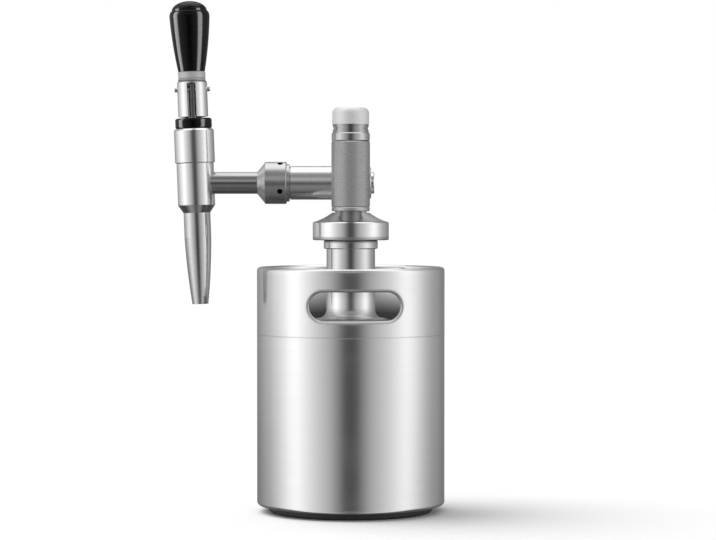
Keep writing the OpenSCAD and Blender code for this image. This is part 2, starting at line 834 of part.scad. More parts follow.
// The vent spring: one wire wound from the bush's floor to the button
module vent_spring() {
    wire_r = vent_wire_d / 2;
    sides = 6;
    turn_steps = 8;
    steps = turn_steps * vent_turns;
    first_x = wire_r + seat_fit;
    run = button_x - spring_floor_x - 2 * first_x;
    rings = [for (i = [0:steps]) let (a = 360 * i / turn_steps, x = first_x + run * i / steps)
        [for (k = [0:sides - 1]) let (
            b = 360 * k / sides,
            r = spring_coil_r + wire_r * cos(b))
            [r * cos(a), r * sin(a), spring_floor_x + x + wire_r * sin(b)]]];
    points = [for (one = rings) for (p = one) p];
    last = steps * sides;
    skin = [for (i = [0:steps - 1]) for (k = [0:sides - 1]) let (
            a = i * sides + k,
            b = i * sides + (k + 1) % sides)
        each [[a, a + sides, b], [b, a + sides, b + sides]]];
    ends = [for (k = [1:sides - 2]) each [[0, k, k + 1], [last, last + k + 1, last + k]]];
    pitch_gap = run / vent_turns - vent_wire_d;
    echo(least_gap_between_vent_spring_turns = pitch_gap);
    color("#9a9da1") along_arm() polyhedron(points, concat(skin, ends), convexity = 4);
}

module vent_button() {
    color("#c4c7ca")
        along_arm()
            turned([
                [0, poppet_floor_x], [vent_stem_d / 2, poppet_floor_x],
                [vent_stem_d / 2, button_x],
                [button_d / 2, button_x], [button_d / 2, button_x + button_t - edge_bevel],
                [button_d / 2 - edge_bevel, button_x + button_t], [0, button_x + button_t]
            ]);
}

// The cup screwed on the button's stem, which carries the vent's washer
module vent_poppet() {
    color("#a9adb2")
        along_arm()
            turned([
                [0, poppet_x], [poppet_d / 2, poppet_x], [poppet_d / 2, poppet_x + poppet_t],
                [vent_stem_d / 2 + seat_fit, poppet_x + poppet_t],
                [vent_stem_d / 2 + seat_fit, poppet_floor_x], [0, poppet_floor_x]
            ]);
}

module vent_washer() {
    color("#2b2b2d")
        along_arm() ring(vent_stem_d / 2 + seat_fit, poppet_d / 2, poppet_x + poppet_t, bush_x);
}

// The round collar nut with radial spanner holes
module collar_nut() {
    hole_r = shank_r + seat_fit;
    bore_r = arm_thread_d / 2 + seat_fit;
    nut_r = nut_d / 2;
    lip_r = nut_lip_d / 2;
    color("#8d9094")
        along_arm()
            difference() {
                turned([
                    [hole_r, nut_nose_x], [nose_d / 2 - edge_bevel, nut_nose_x],
                    [nose_d / 2, nut_nose_x + edge_bevel], [nut_r, nut_body_x],
                    [nut_r, nut_lip_x - edge_bevel], [nut_r - edge_bevel, nut_lip_x],
                    [lip_r, nut_lip_x], [lip_r, nut_right_x], [bore_r, nut_right_x],
                    [bore_r, shank_flange_x], [hole_r, shank_flange_x]
                ]);
                for (i = [0:spanner_count - 1])
                    rotate([0, 0, 180 + spanner_angle + i * 360 / spanner_count])
                        translate([nut_r - spanner_depth, 0, spanner_x])
                            rotate([0, 90, 0]) cylinder(d = spanner_d, h = spanner_depth + over);
            }
}

// The shank from the collar nut into the tap's body
module shank() {
    left_x = -tap_reach + shank_seat;
    color("#b9bcc0")
        along_arm()
            turned([
                [drink_r, left_x], [shank_r, left_x], [shank_r, shank_flange_x],
                [shank_flange_d / 2, shank_flange_x],
                [shank_flange_d / 2, shank_flange_x + shank_flange_t],
                [drink_r, shank_flange_x + shank_flange_t]
            ]);
}

module shank_washer() {
    color("#2b2b2d")
        along_arm()
            ring(drink_r, shank_flange_d / 2, shank_flange_x + shank_flange_t, arm_end_x);
}

// The tap's body: valve chamber, seat bore and the socket for the shank
module faucet_body() {
    spigot_r = bonnet_spigot_d / 2 + seat_fit;
    color("#b9bcc0")
        difference() {
            at_tap()
                turned([
                    [seat_bore_d / 2, -body_low], [nozzle_top_d / 2, -body_low],
                    [body_r, -body_low + body_taper], [body_r, body_high - seam_bevel],
                    [body_r - seam_bevel, body_high], [spigot_r, body_high],
                    [spigot_r, body_high - bonnet_spigot_l],
                    [chamber_d / 2, body_high - bonnet_spigot_l],
                    [chamber_d / 2, seat_top], [seat_bore_d / 2, seat_top]
                ]);
            along_arm() {
                ring(0, shank_r + seat_fit, -tap_reach + shank_seat, -tap_reach + body_d);
                ring(0, drink_r, -tap_reach, -tap_reach + shank_seat + eps);
            }
        }
}

// The bonnet that guides the valve's stem
module bonnet() {
    bonnet_r = bonnet_d / 2;
    foot = body_high - bonnet_spigot_l;
    color("#b9bcc0")
        at_tap()
            turned([
                [packing_r + seat_fit, foot], [bonnet_spigot_d / 2, foot],
                [bonnet_spigot_d / 2, body_high], [bonnet_r - seam_bevel, body_high],
                [bonnet_r, body_high + seam_bevel], [bonnet_r, bonnet_top - 2 * edge_bevel],
                [bonnet_r - 2 * edge_bevel, bonnet_top], [guide_r, bonnet_top],
                [guide_r, foot + packing_h], [packing_r + seat_fit, foot + packing_h]
            ]);
}

// The rounded ring that the lever's foot rocks on
module cam_ring() {
    r = cam_ring_d / 2;
    hole_r = stem_r + cam_ring_gap;
    color("#1d1d1f")
        at_tap()
            rotate_extrude() {
                translate([hole_r, bonnet_top])
                    square([r - cam_ring_round - hole_r, cam_ring_h]);
                translate([hole_r, bonnet_top + cam_ring_round])
                    square([r - hole_r, cam_ring_h - 2 * cam_ring_round]);
                for (z = [bonnet_top + cam_ring_round, cam_top - cam_ring_round])
                    translate([r - cam_ring_round, z]) circle(r = cam_ring_round);
            }
}

module stem_packing() {
    foot = body_high - bonnet_spigot_l;
    color("#2b2b2d") at_tap() ring(guide_r, packing_r, foot, foot + packing_h);
}

module valve_seat() {
    color("#d8d8d4")
        at_tap() ring(seat_hole_d / 2, seat_bore_d / 2 - seat_fit, seat_foot, seat_top);
}

// The plate of fine holes that makes the drink foam
module restrictor_plate() {
    color("#d4d6d9")
        at_tap()
            difference() {
                ring(0, seat_bore_d / 2 - seat_fit, plate_foot, seat_foot);
                for (i = [0:jet_count - 1])
                    rotate([0, 0, i * 360 / jet_count])
                        translate([seat_hole_d / 4, 0, plate_foot - over])
                            cylinder(d = jet_d, h = plate_t + 2 * over);
            }
}

// A thin tube with two crossed vanes, inside the top of the nozzle
module flow_straightener() {
    r = straightener_d / 2 - seat_fit;
    low = plate_foot - straightener_l;
    color("#e8e8e4")
        at_tap() {
            ring(r - vane_t, r, low, plate_foot);
            for (a = [0, 90])
                rotate([0, 0, a])
                    translate([0, 0, low + straightener_l / 2])
                        cube([2 * r - vane_t, vane_t, straightener_l], center = true);
        }
}

// The long nozzle: straight at the top, then a swelling taper down to the tip
module nozzle() {
    top_r = nozzle_top_d / 2;
    tip_r = nozzle_tip_d / 2;
    spigot_r = seat_bore_d / 2 - seat_fit;
    bend = -body_low - nozzle_straight;
    taper_l = bend - nozzle_tip;
    inner = plate_foot - straightener_l;
    steps = 8;
    taper = [for (i = [1:steps]) let (s = i / steps)
        [top_r + (tip_r - top_r) * s + 4 * nozzle_swell * s * (1 - s), bend - taper_l * s]];
    color("#b9bcc0")
        at_tap()
            turned(concat(
                [
                    [straightener_d / 2, plate_foot], [spigot_r, plate_foot],
                    [spigot_r, -body_low], [top_r, -body_low], [top_r, bend]
                ],
                taper,
                [
                    [nozzle_bore_d / 2, nozzle_tip], [nozzle_bore_d / 2, inner - bore_taper_l],
                    [straightener_d / 2, inner]
                ]
            ));
}

// The stem that lifts the valve's plug, with an eye for the pivot pin
module valve_stem() {
    color("#c4c7ca")
        at_tap()
            difference() {
                ring(0, stem_r, plug_top, stem_top);
                translate([0, 0, pivot_at])
                    rotate([0, 90, 0]) cylinder(r = eye_r, h = 4 * stem_r, center = true);
            }
}

module valve_plug() {
    color("#2b2b2d")
        at_tap()
            turned([
                [0, seat_top], [plug_d / 2, seat_top], [plug_d / 2, seat_top + plug_h / 2],
                [stem_r, plug_top], [0, plug_top]
            ]);
}

// The slotted yoke on top of the stem: its bevelled foot rocks on the cam ring,
// and its stud holds the handle. Above the pin the slot is open only in front
module lever_yoke() {
    yoke_r = yoke_d / 2;
    slot_half = stem_r + slot_clear;
    color("#b9bcc0")
        at_tap()
            difference() {
                union() {
                    turned([
                        [0, yoke_foot], [foot_flat_r, yoke_foot],
                        [yoke_r, yoke_foot + cam_rise], [yoke_r, yoke_top - edge_bevel],
                        [yoke_r - edge_bevel, yoke_top], [0, yoke_top]
                    ]);
                    ring(0, stud_d / 2, yoke_top - eps, ferrule_top + stud_l);
                }
                translate([-slot_half, -yoke_d, yoke_foot - over])
                    cube([2 * slot_half, 2 * yoke_d, pivot_rise + over]);
                translate([-slot_half, -yoke_d, pivot_at - over])
                    cube([2 * slot_half, yoke_d + swing_r, swing_r + over]);
                translate([0, 0, pivot_at])
                    rotate([0, 90, 0])
                        cylinder(r = pivot_d / 2 + seat_fit, h = 2 * yoke_d, center = true);
            }
}

module pivot_pin() {
    half = yoke_d / 2 + pivot_proud;
    color("#c4c7ca")
        at_tap()
            translate([0, 0, pivot_at])
                rotate([0, 90, 0])
                    turned([
                        [0, -half], [pivot_d / 2 - pin_bevel, -half],
                        [pivot_d / 2, pin_bevel - half], [pivot_d / 2, half - pin_bevel],
                        [pivot_d / 2 - pin_bevel, half], [0, half]
                    ]);
}

// The ferrule under the handle, with a shallow groove near its foot
module ferrule() {
    r = ferrule_d / 2;
    groove = yoke_top + ferrule_h / 4;
    color("#b9bcc0")
        at_tap()
            turned([
                [stud_d / 2 + seat_fit, yoke_top], [r, yoke_top], [r, groove],
                [r - edge_bevel, groove + edge_bevel / 2], [r, groove + edge_bevel],
                [r, ferrule_top - edge_bevel], [r - edge_bevel, ferrule_top],
                [stud_d / 2 + seat_fit, ferrule_top]
            ]);
}

// The black handle: it widens upwards to a rounded shoulder and a low crown
module handle_knob() {
    base_r = knob_base_d / 2;
    wide_r = knob_d / 2;
    crown_z = ferrule_top + knob_wide_rise + knob_shoulder_h;
    crown_h = knob_top - crown_z;
    crown_r = knob_crown_d / 2;
    hole_r = stud_d / 2 + seat_fit;
    hole_z = ferrule_top + stud_l + lift_gap;
    steps = 8;
    side = [for (i = [0:steps]) let (s = i / steps) [
        base_r + (wide_r - base_r) * s + 4 * knob_swell * s * (1 - s),
        ferrule_top + knob_wide_rise * s]];
    shoulder = [for (i = [1:steps]) let (a = 90 * i / steps) [
        crown_r + (wide_r - crown_r) * cos(a),
        crown_z + knob_shoulder_h * (sin(a) - 1)]];
    crown = [for (i = [1:steps]) let (a = 90 * i / steps)
        [crown_r * cos(a), crown_z + crown_h * sin(a)]];
    color("#151517")
        at_tap()
            turned(concat(
                side, shoulder, crown,
                [[0, hole_z], [hole_r, hole_z], [hole_r, ferrule_top]]
            ));
}

// The gas charger, neck down on the piercing pin
module charger() {
    neck_r = charger_neck_d / 2;
    bend_z = charger_shoulder_z;
    top_r = charger_r;
    color("#c9ccd0")
        at_gas()
            rotate_extrude()
                difference() {
                    union() {
                        translate([0, charger_z])
                            square([neck_r, charger_neck_l + charger_bend]);
                        translate([0, bend_z])
                            square([charger_r, charger_top_z - top_r - bend_z]);
                        translate([neck_r, bend_z]) quarter_disc(charger_bend);
                        intersection() {
                            translate([0, charger_top_z - top_r]) circle(r = top_r);
                            translate([0, bend_z]) square([charger_r, charger_l]);
                        }
                    }
                    translate([0, bend_z])
                        square([charger_r - charger_t, charger_top_z - top_r - bend_z]);
                    intersection() {
                        translate([0, charger_top_z - top_r]) circle(r = top_r - charger_t);
                        translate([0, bend_z]) square([charger_r, charger_l]);
                    }
                    translate([neck_r - charger_t, bend_z]) quarter_disc(charger_bend);
                    translate([0, charger_z + charger_t])
                        square([neck_r - charger_t, charger_neck_l + charger_bend]);
                    translate([0, charger_z - over]) square([pierced_r, charger_neck_l]);
                }
}

// The holder's tube: thread, charger chamber, plain ring, bead and grooved band
module holder_sleeve() {
    r = holder_d / 2;
    band_r = (dome_cap_d - groove_depth) / 2;
    groove_w = band_h / 3;
    relief_z = post_top_z + over;
    color("#b9bcc0")
        at_gas()
            turned([
                [holder_thread_r, boss_z], [r - edge_bevel, boss_z], [r, boss_z + edge_bevel],
                [r, grip_z - edge_bevel], [r - edge_bevel, grip_z], [grip_core_r, grip_z],
                [grip_core_r, bead_z], [r - edge_bevel, bead_z], [r, bead_z + edge_bevel],
                [r, band_z - edge_bevel], [r - edge_bevel, band_z], [band_r, band_z],
                [band_r, band_z + groove_w], [band_r - groove_depth, band_z + groove_w],
                [band_r - groove_depth, band_z + 2 * groove_w], [band_r, band_z + 2 * groove_w],
                [band_r, dome_cap_z], [holder_bore_r, dome_cap_z],
                [holder_bore_r, relief_z], [holder_thread_r, relief_z]
            ]);
}

module holder_grip() {
    color("#77797c")
        at_gas() bevelled_ring(grip_core_r + seat_fit, grip_d / 2, grip_z, bead_z, edge_bevel);
}

// The polished cap that closes the holder, with a round upper edge
module holder_cap() {
    r = dome_cap_d / 2;
    color("#d4d6d9")
        at_gas()
            rotate_extrude()
                difference() {
                    union() {
                        translate([0, dome_cap_z])
                            square([r, dome_cap_h - dome_cap_r]);
                        translate([0, dome_cap_z])
                            square([r - dome_cap_r, dome_cap_h]);
                        translate([r - dome_cap_r, holder_top_z - dome_cap_r])
                            circle(r = dome_cap_r);
                    }
                    translate([0, dome_cap_z - over])
                        square([holder_bore_r, ceiling_z - dome_cap_z + over]);
                }
}

module holder_pad() {
    color("#2b2b2d") at_gas() ring(0, holder_bore_r - lift_gap, ceiling_z - pad_t, ceiling_z);
}

foot_ring();
keg_base();
keg_wall();
keg_dome();
keg_neck();
handle_collar();
cap();
cap_gasket();
gas_post();
piercing_pin();
charger_seal();
check_flap();
arm();
arm_seal();
dip_tube();
vent_bush();
vent_spring();
vent_button();
vent_poppet();
vent_washer();
collar_nut();
shank();
shank_washer();
faucet_body();
bonnet();
cam_ring();
stem_packing();
valve_seat();
restrictor_plate();
flow_straightener();
nozzle();
valve_stem();
valve_plug();
lever_yoke();
pivot_pin();
ferrule();
handle_knob();
charger();
holder_sleeve();
holder_grip();
holder_cap();
holder_pad();
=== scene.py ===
# %% [markdown]
# # A steel keg with a tap for cold coffee
# The keg is turned and drawn from stainless sheet. On its screw cap stand a holder for a gas
# charger and a side arm with a stout tap. The solid model gives every piece its size and
# place, and it could be shown as it is. This lesson adds what the solids leave out: satin and
# polished steel, a cut knurl, threads, welds, a wound spring, and the light of a small photo
# studio. All of it is made by code, so that a number can be changed and the piece made again.

# %% Load the frame
import math

import bmesh
import bpy
from mathutils import Euler, Matrix, Vector


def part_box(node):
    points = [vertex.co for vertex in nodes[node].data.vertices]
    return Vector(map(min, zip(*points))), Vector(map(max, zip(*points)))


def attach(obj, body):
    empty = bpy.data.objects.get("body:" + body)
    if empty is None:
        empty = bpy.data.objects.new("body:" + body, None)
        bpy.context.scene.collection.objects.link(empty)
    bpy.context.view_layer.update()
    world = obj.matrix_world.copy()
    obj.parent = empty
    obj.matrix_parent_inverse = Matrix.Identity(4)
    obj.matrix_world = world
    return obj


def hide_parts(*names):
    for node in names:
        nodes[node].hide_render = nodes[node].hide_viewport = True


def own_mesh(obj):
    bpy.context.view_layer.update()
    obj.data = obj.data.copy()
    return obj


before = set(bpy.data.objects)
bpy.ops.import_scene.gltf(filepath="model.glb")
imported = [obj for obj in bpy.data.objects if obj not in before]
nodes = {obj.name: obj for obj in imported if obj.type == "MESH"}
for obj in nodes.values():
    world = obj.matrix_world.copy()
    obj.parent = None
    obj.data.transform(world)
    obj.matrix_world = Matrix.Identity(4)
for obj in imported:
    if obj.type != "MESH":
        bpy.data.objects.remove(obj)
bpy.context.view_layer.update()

MM = 0.001
scene = bpy.context.scene

# %% [markdown]
# ## The camera
# The picture was taken from far away with a long lens, because the keg's sides stay almost
# upright and its foot curves only a little. The lens is 1.87 m in front of the keg, a little
# above the rim, and looks down by a degree and a half. The camera could be moved by eye in the
# viewport. Numbers are used instead, because the lens follows from the picture's width in
# pixels, and the height from the curves of the keg's foot and rim.

# %% Camera
IMAGE_WIDTH = 716
FOCAL_PIXELS = 2600
SENSOR = 36
CAMERA_PLACE = (0.0052, -1.87, 0.2227)
LOOK_DOWN = 1.5
camera_data = bpy.data.cameras.new("camera")
camera_data.sensor_width = SENSOR
camera_data.lens = FOCAL_PIXELS / IMAGE_WIDTH * SENSOR
camera = bpy.data.objects.new("camera", camera_data)
camera.location = CAMERA_PLACE
camera.rotation_euler = (math.radians(90 - LOOK_DOWN), 0, 0)
scene.collection.objects.link(camera)
scene.camera = camera
print("lens of", round(camera_data.lens, 1), "mm")

# %% [markdown]
# ## Adding nodes in one line
# A finish is a tree of nodes. It could be drawn in the shader editor, but a script can be read
# and run again. In code every node takes several lines, so a few helpers keep the finishes
# short: one sets or links a socket, one adds a node and fills its sockets by name, and one
# makes an empty finish.

# %% Node helpers
def fill(tree, socket, value):
    """Sets a socket, or links another node's output to it."""
    if isinstance(value, bpy.types.NodeSocket):
        tree.links.new(value, socket)
    else:
        socket.default_value = value


def add(tree, kind, settings=None, **sockets):
    """Adds a shader node; a socket's value is a number, a colour or another node's output."""
    node = tree.nodes.new("ShaderNode" + kind)
    for key, value in (settings or {}).items():
        setattr(node, key, value)
    for key, value in sockets.items():
        fill(tree, node.inputs[key.replace("_", " ")], value)
    return node


def new_finish(name):
    """An empty material with its tree and its shader."""
    material = bpy.data.materials.new(name)
    material.use_nodes = True
    return material, material.node_tree, material.node_tree.nodes["Principled BSDF"]


print("helpers ready: fill, add, new_finish")

# %% [markdown]
# ### Sums, blends and ranges
# Most values in a finish are worked out from others: by a sum, by a blend of two colours, or by
# a range that is stretched onto 0 to 1. Each could be a node that is set and linked by hand.
# These helpers return the result's socket, so they can be written one inside the other, like a
# formula.

# %% Sums, blends and ranges
# A Mix node has sockets for every kind of value; these are the ones for colours
MIX_FACTOR, MIX_FIRST, MIX_SECOND, MIX_RESULT = 0, 6, 7, 2


def grey(level):
    """A neutral colour."""
    return (level, level, level, 1.0)


def maths(tree, operation, *values):
    """Adds one step of arithmetic and returns its result."""
    node = add(tree, "Math", {"operation": operation})
    for socket, value in zip(node.inputs, values):
        fill(tree, socket, value)
    return node.outputs[0]


def mix_colour(tree, factor, first, second):
    """Blends two colours."""
    node = add(tree, "Mix", {"data_type": "RGBA"})
    fill(tree, node.inputs[MIX_FACTOR], factor)
    fill(tree, node.inputs[MIX_FIRST], first)
    fill(tree, node.inputs[MIX_SECOND], second)
    return node.outputs[MIX_RESULT]


def spread(tree, value, low, high):
    """Stretches a range of values onto 0 to 1."""
    node = add(tree, "MapRange", {"clamp": True}, Value=value, From_Min=low, From_Max=high)
    return node.outputs[0]


print("helpers ready: grey, maths, mix_colour, spread")

# %% [markdown]
# ## The studio floor
# The keg stands on a sheet of white paper that runs into a white background. A studio curves
# the paper up behind the object. Here a flat sheet is enough, because it is so large that its
# far edge is lost in the white. Reflections don't see it: in a mirror of steel, one great
# white sheet would hide the steps of light that the room gives.

# %% Floor
FLOOR_SIZE, FLOOR_TONE, FLOOR_ROUGHNESS = 40, 0.93, 0.9
floor_mesh = bmesh.new()
bmesh.ops.create_grid(floor_mesh, x_segments=1, y_segments=1, size=FLOOR_SIZE)
floor_data = bpy.data.meshes.new("floor")
floor_mesh.to_mesh(floor_data)
floor_mesh.free()
floor_paper, _, paper_shader = new_finish("floor_paper")
paper_shader.inputs["Base Color"].default_value = grey(FLOOR_TONE)
paper_shader.inputs["Roughness"].default_value = FLOOR_ROUGHNESS
floor_data.materials.append(floor_paper)
floor = bpy.data.objects.new("floor", floor_data)
floor.visible_glossy = False
scene.collection.objects.link(floor)
print("floor of", round(floor.dimensions.x, 1), "m")

# %% [markdown]
# ## The room's light
# A polished cylinder shows its surroundings, so most of the look of steel is made by the room
# and not by the metal. Behind the camera the room is dark: that is the dark stripe down the
# middle of every upright cylinder. Two tall white panels stand at the sides, a lamp panel
# hangs overhead, and the room behind the keg falls off to grey. The panels could be lit planes
# round the keg. The world's shader holds the same light as a brightness for each direction,
# and then no plane stands in the way of a view from another side.

# %% Levels of light
# Brightness of the walls by the angle from the camera's side, in degrees
WALLS = [
    (0, 0.05), (7, 0.09), (16, 0.31), (24, 0.5), (32, 0.63), (42, 0.78), (52, 0.98),
    (62, 1.22), (70, 1.4), (80, 1.36), (90, 1.08), (103, 0.74), (115, 0.54), (131, 0.42),
    (152, 0.26), (180, 0.3),
]
# Brightness of the fill above the camera, by height in degrees
FRONT_FILL = [
    (0, 0.04), (9, 0.25), (22, 0.58), (32, 0.48), (42, 0.3), (50, 0.2), (58, 0.3), (75, 0.46),
    (90, 0.5),
]
# Brightness of the table in front, by degrees below the camera
FRONT_TABLE = [(0, 0.04), (10, 0.08), (20, 0.26), (45, 0.2), (60, 0.1), (90, 0.1)]


def level_ramp(tree, value, steps):
    """A ramp through pairs of angle and brightness; the value is in radians."""
    full = steps[-1][0]
    ramp = add(tree, "ValToRGB", Fac=maths(tree, "DIVIDE", value, math.radians(full)))
    stops = ramp.color_ramp.elements
    for _ in steps[1:-1]:
        stops.new(0.5)
    # A stop that moves may change its place in the row, so the colours come last
    for stop, (degrees, _) in zip(stops, steps):
        stop.position = degrees / full
    for stop, (_, level) in zip(stops, steps):
        stop.color = grey(level)
    return ramp.outputs["Color"]


print("steps of light:", len(WALLS) + len(FRONT_FILL) + len(FRONT_TABLE))

# %% [markdown]
# ### Directions in the room
# The world's shader gives a colour for each direction. A picture of a studio could be wrapped
# round the scene, but angles need no picture file. The direction is split into east, north and
# up, and from these come the angle from the camera's side and the angle above or below the
# horizon.

# %% Directions in the room
world = bpy.data.worlds.new("studio")
scene.world = world
world.use_nodes = True
room = world.node_tree
room.nodes.clear()
where = add(room, "SeparateXYZ", Vector=add(room, "TexCoord").outputs["Generated"])
east, north, up = where.outputs
ahead = maths(room, "MULTIPLY", north, -1.0)
turn = maths(room, "ABSOLUTE", maths(room, "ARCTAN2", east, ahead))
climb = maths(room, "ARCSINE", up)
rise = maths(room, "MAXIMUM", climb, 0.0)
drop = maths(room, "MAXIMUM", maths(room, "MULTIPLY", climb, -1.0), 0.0)
print("directions:", len(room.nodes), "nodes")

# %% [markdown]
# ### Walls
# The two sides of a real room are never alike. The left wall is a little brighter than the
# right one, most of all behind the keg, and both fade towards the floor. Lit planes would
# show hard edges in the steel. Here each place is a mask that fades between two limits of a
# direction.

# %% Walls
BACK_LEFT_GAIN, FOOT_FADE = 0.4, 0.22
BACK_LEFT_AHEAD, BACK_LEFT_EAST = (0.0, -0.3), (0.0, -0.5)
BACK_LEFT_CLIMB = (math.radians(-4.5), math.radians(-1.5))
FOOT_AHEAD, FOOT_DROP = (0.7, 0.2), (math.radians(3.5), math.radians(7))
back_left = maths(room, "MULTIPLY", spread(room, ahead, *BACK_LEFT_AHEAD),
                  spread(room, east, *BACK_LEFT_EAST))
back_left = maths(room, "MULTIPLY", back_left, spread(room, climb, *BACK_LEFT_CLIMB))
foot = maths(room, "MULTIPLY", spread(room, ahead, *FOOT_AHEAD), spread(room, drop, *FOOT_DROP))
gain = maths(room, "MULTIPLY_ADD", back_left, BACK_LEFT_GAIN, 1.0)
gain = maths(room, "MULTIPLY_ADD", foot, -FOOT_FADE, gain)
walls = maths(room, "MULTIPLY", level_ramp(room, turn, WALLS), gain)
print("walls with", len(WALLS), "steps of light")

# %% [markdown]
# ### Front, lamp panel and underneath
# Above the dark place behind the camera hangs a soft fill, and the table in front gives a
# little light from below. The lamp panel overhead is a round patch that leans back behind the
# keg. Under the horizon, away from the camera, the room is nearly dark. Four lamps could give
# this light too, but their sizes and strengths would all depend on each other; here each part
# has a brightness of its own.

# %% Front, lamp panel and underneath
LEFT_GAIN, FRONT_EDGE = 0.06, (0.0, 0.35)
OVERHEAD, OVERHEAD_LEAN = 1.6, math.radians(18)
OVERHEAD_EDGE = (math.cos(math.radians(34)), math.cos(math.radians(25)))
UNDERNEATH, UNDERNEATH_EDGE = 0.1, (-0.12, -0.6)
facing = spread(room, ahead, *FRONT_EDGE)
front = maths(room, "MULTIPLY", facing, maths(
    room, "MAXIMUM", level_ramp(room, rise, FRONT_FILL), level_ramp(room, drop, FRONT_TABLE)))
sides = maths(room, "MULTIPLY", maths(room, "MAXIMUM", walls, front),
              maths(room, "MULTIPLY_ADD", east, -LEFT_GAIN, 1.0))
lean = maths(room, "ADD", maths(room, "MULTIPLY", north, math.sin(OVERHEAD_LEAN)),
             maths(room, "MULTIPLY", up, math.cos(OVERHEAD_LEAN)))
seen = mix_colour(room, spread(room, lean, *OVERHEAD_EDGE), sides, grey(OVERHEAD))
under = maths(room, "MULTIPLY", spread(room, up, *UNDERNEATH_EDGE),
              maths(room, "SUBTRACT", 1.0, facing))
seen = mix_colour(room, under, seen, grey(UNDERNEATH))
print("lamp panel of brightness", OVERHEAD)

# %% [markdown]
# ### What each ray sees
# Steel sees the room that was just built. Dull surfaces gather light from everywhere, so they
# get one even level, and the camera sees plain white behind the keg. A studio needs separate
# lamps and flags for this; Blender's Light Path node tells the three kinds of ray apart.

# %% Rays
AMBIENT = 0.5
path = add(room, "LightPath")
soft = mix_colour(room, path.outputs["Is Diffuse Ray"], seen, grey(AMBIENT))
shown = mix_colour(room, path.outputs["Is Camera Ray"], soft, grey(1))
background = add(room, "Background", Color=shown, Strength=1.0)
add(room, "OutputWorld", Surface=background.outputs["Background"])
print("room of", len(room.nodes), "nodes")

# %% [markdown]
# ## The key light
# A large soft lamp at the upper left, a little behind the keg, gives the shadow on the floor.
# A near lamp would light the keg's top more than its foot, so a sun with a wide angle is used.
# Steel doesn't mirror it, because the room already holds the panels. The Standard view keeps
# white paper white.

# %% Key light
KEY_STRENGTH, KEY_ANGLE, KEY_AIM = 2.35, math.radians(56), Vector((0.62, -0.22, -1.0))
key_data = bpy.data.lights.new("key", "SUN")
key_data.energy = KEY_STRENGTH
key_data.angle = KEY_ANGLE
key = bpy.data.objects.new("key", key_data)
key.rotation_euler = KEY_AIM.to_track_quat("-Z", "Y").to_euler()
key.visible_glossy = False
scene.collection.objects.link(key)
scene.view_settings.view_transform = "Standard"
print("key light of strength", round(key_data.energy, 2))

# %% [markdown]
# ## Effects that several finishes share
# Real steel is never one even grey. A lathe or a polishing belt leaves fine lines round the
# piece, hands leave faint cloudy marks, and cloths leave hair scratches. Each finish could
# hold all these nodes itself. A node group is built once and placed in each finish with its
# own values, so a better group makes every finish better.

# %% Group helpers
def new_group(name, inputs, outputs):
    """Makes an empty shader group and returns it with its input and output nodes."""
    tree = bpy.data.node_groups.new(name, "ShaderNodeTree")
    for label, kind, value in inputs:
        socket = tree.interface.new_socket(label, in_out="INPUT", socket_type="NodeSocket" + kind)
        if value is not None:
            socket.default_value = value
    for label in outputs:
        tree.interface.new_socket(label, in_out="OUTPUT", socket_type="NodeSocketFloat")
    return tree, tree.nodes.new("NodeGroupInput"), tree.nodes.new("NodeGroupOutput")


def use_group(tree, group, **sockets):
    """Places a group in a material."""
    return add(tree, "Group", {"node_tree": group}, **sockets)


print("helpers ready: new_group, use_group")

# %% [markdown]
# ### Turned lines
# A lathe's lines run round the piece's axis. A wave texture would make them too regular. Here
# a noise is read at a place made from the direction round the axis, which changes slowly, and
# the distance along and out from it, which changes fast. The noise then stretches into long
# arcs without a join.

# %% Turned lines
ARC_SHARE, ARC_RANGE, LEAST_REACH = 1.37, (0.3, 0.7), 1e-5
turned_lines, given, result = new_group(
    "turned_lines",
    [("Vector", "Vector", None), ("Density", "Float", 3000.0), ("Streaks", "Float", 2.0)],
    ["Lines"],
)
px, py, pz = add(turned_lines, "SeparateXYZ", Vector=given.outputs["Vector"]).outputs
squares = [maths(turned_lines, "MULTIPLY", side, side) for side in (px, py)]
reach = maths(turned_lines, "SQRT", maths(turned_lines, "ADD", *squares))
reach_safe = maths(turned_lines, "MAXIMUM", reach, LEAST_REACH)
round_x, round_y = (
    maths(turned_lines, "MULTIPLY", maths(turned_lines, "DIVIDE", side, reach_safe),
          given.outputs["Streaks"])
    for side in (px, py)
)
out_and_up = maths(turned_lines, "MULTIPLY_ADD", reach, ARC_SHARE, pz)
along = maths(turned_lines, "MULTIPLY", out_and_up, given.outputs["Density"])
arcs = add(turned_lines, "CombineXYZ", X=round_x, Y=round_y, Z=along)
arc_noise = add(turned_lines, "TexNoise", Vector=arcs.outputs[0], Scale=1.0, Detail=3.0,
                Roughness=0.65)
fill(turned_lines, result.inputs["Lines"], spread(turned_lines, arc_noise.outputs[0], *ARC_RANGE))
print("turned lines:", len(turned_lines.nodes), "nodes")

# %% [markdown]
# ### Handling marks
# Smudges are wide soft clouds. Hair scratches could be drawn one by one as thin lines. It is
# quicker to squeeze a noise hard in one direction and keep only its highest ridges; two
# directions cross each other.

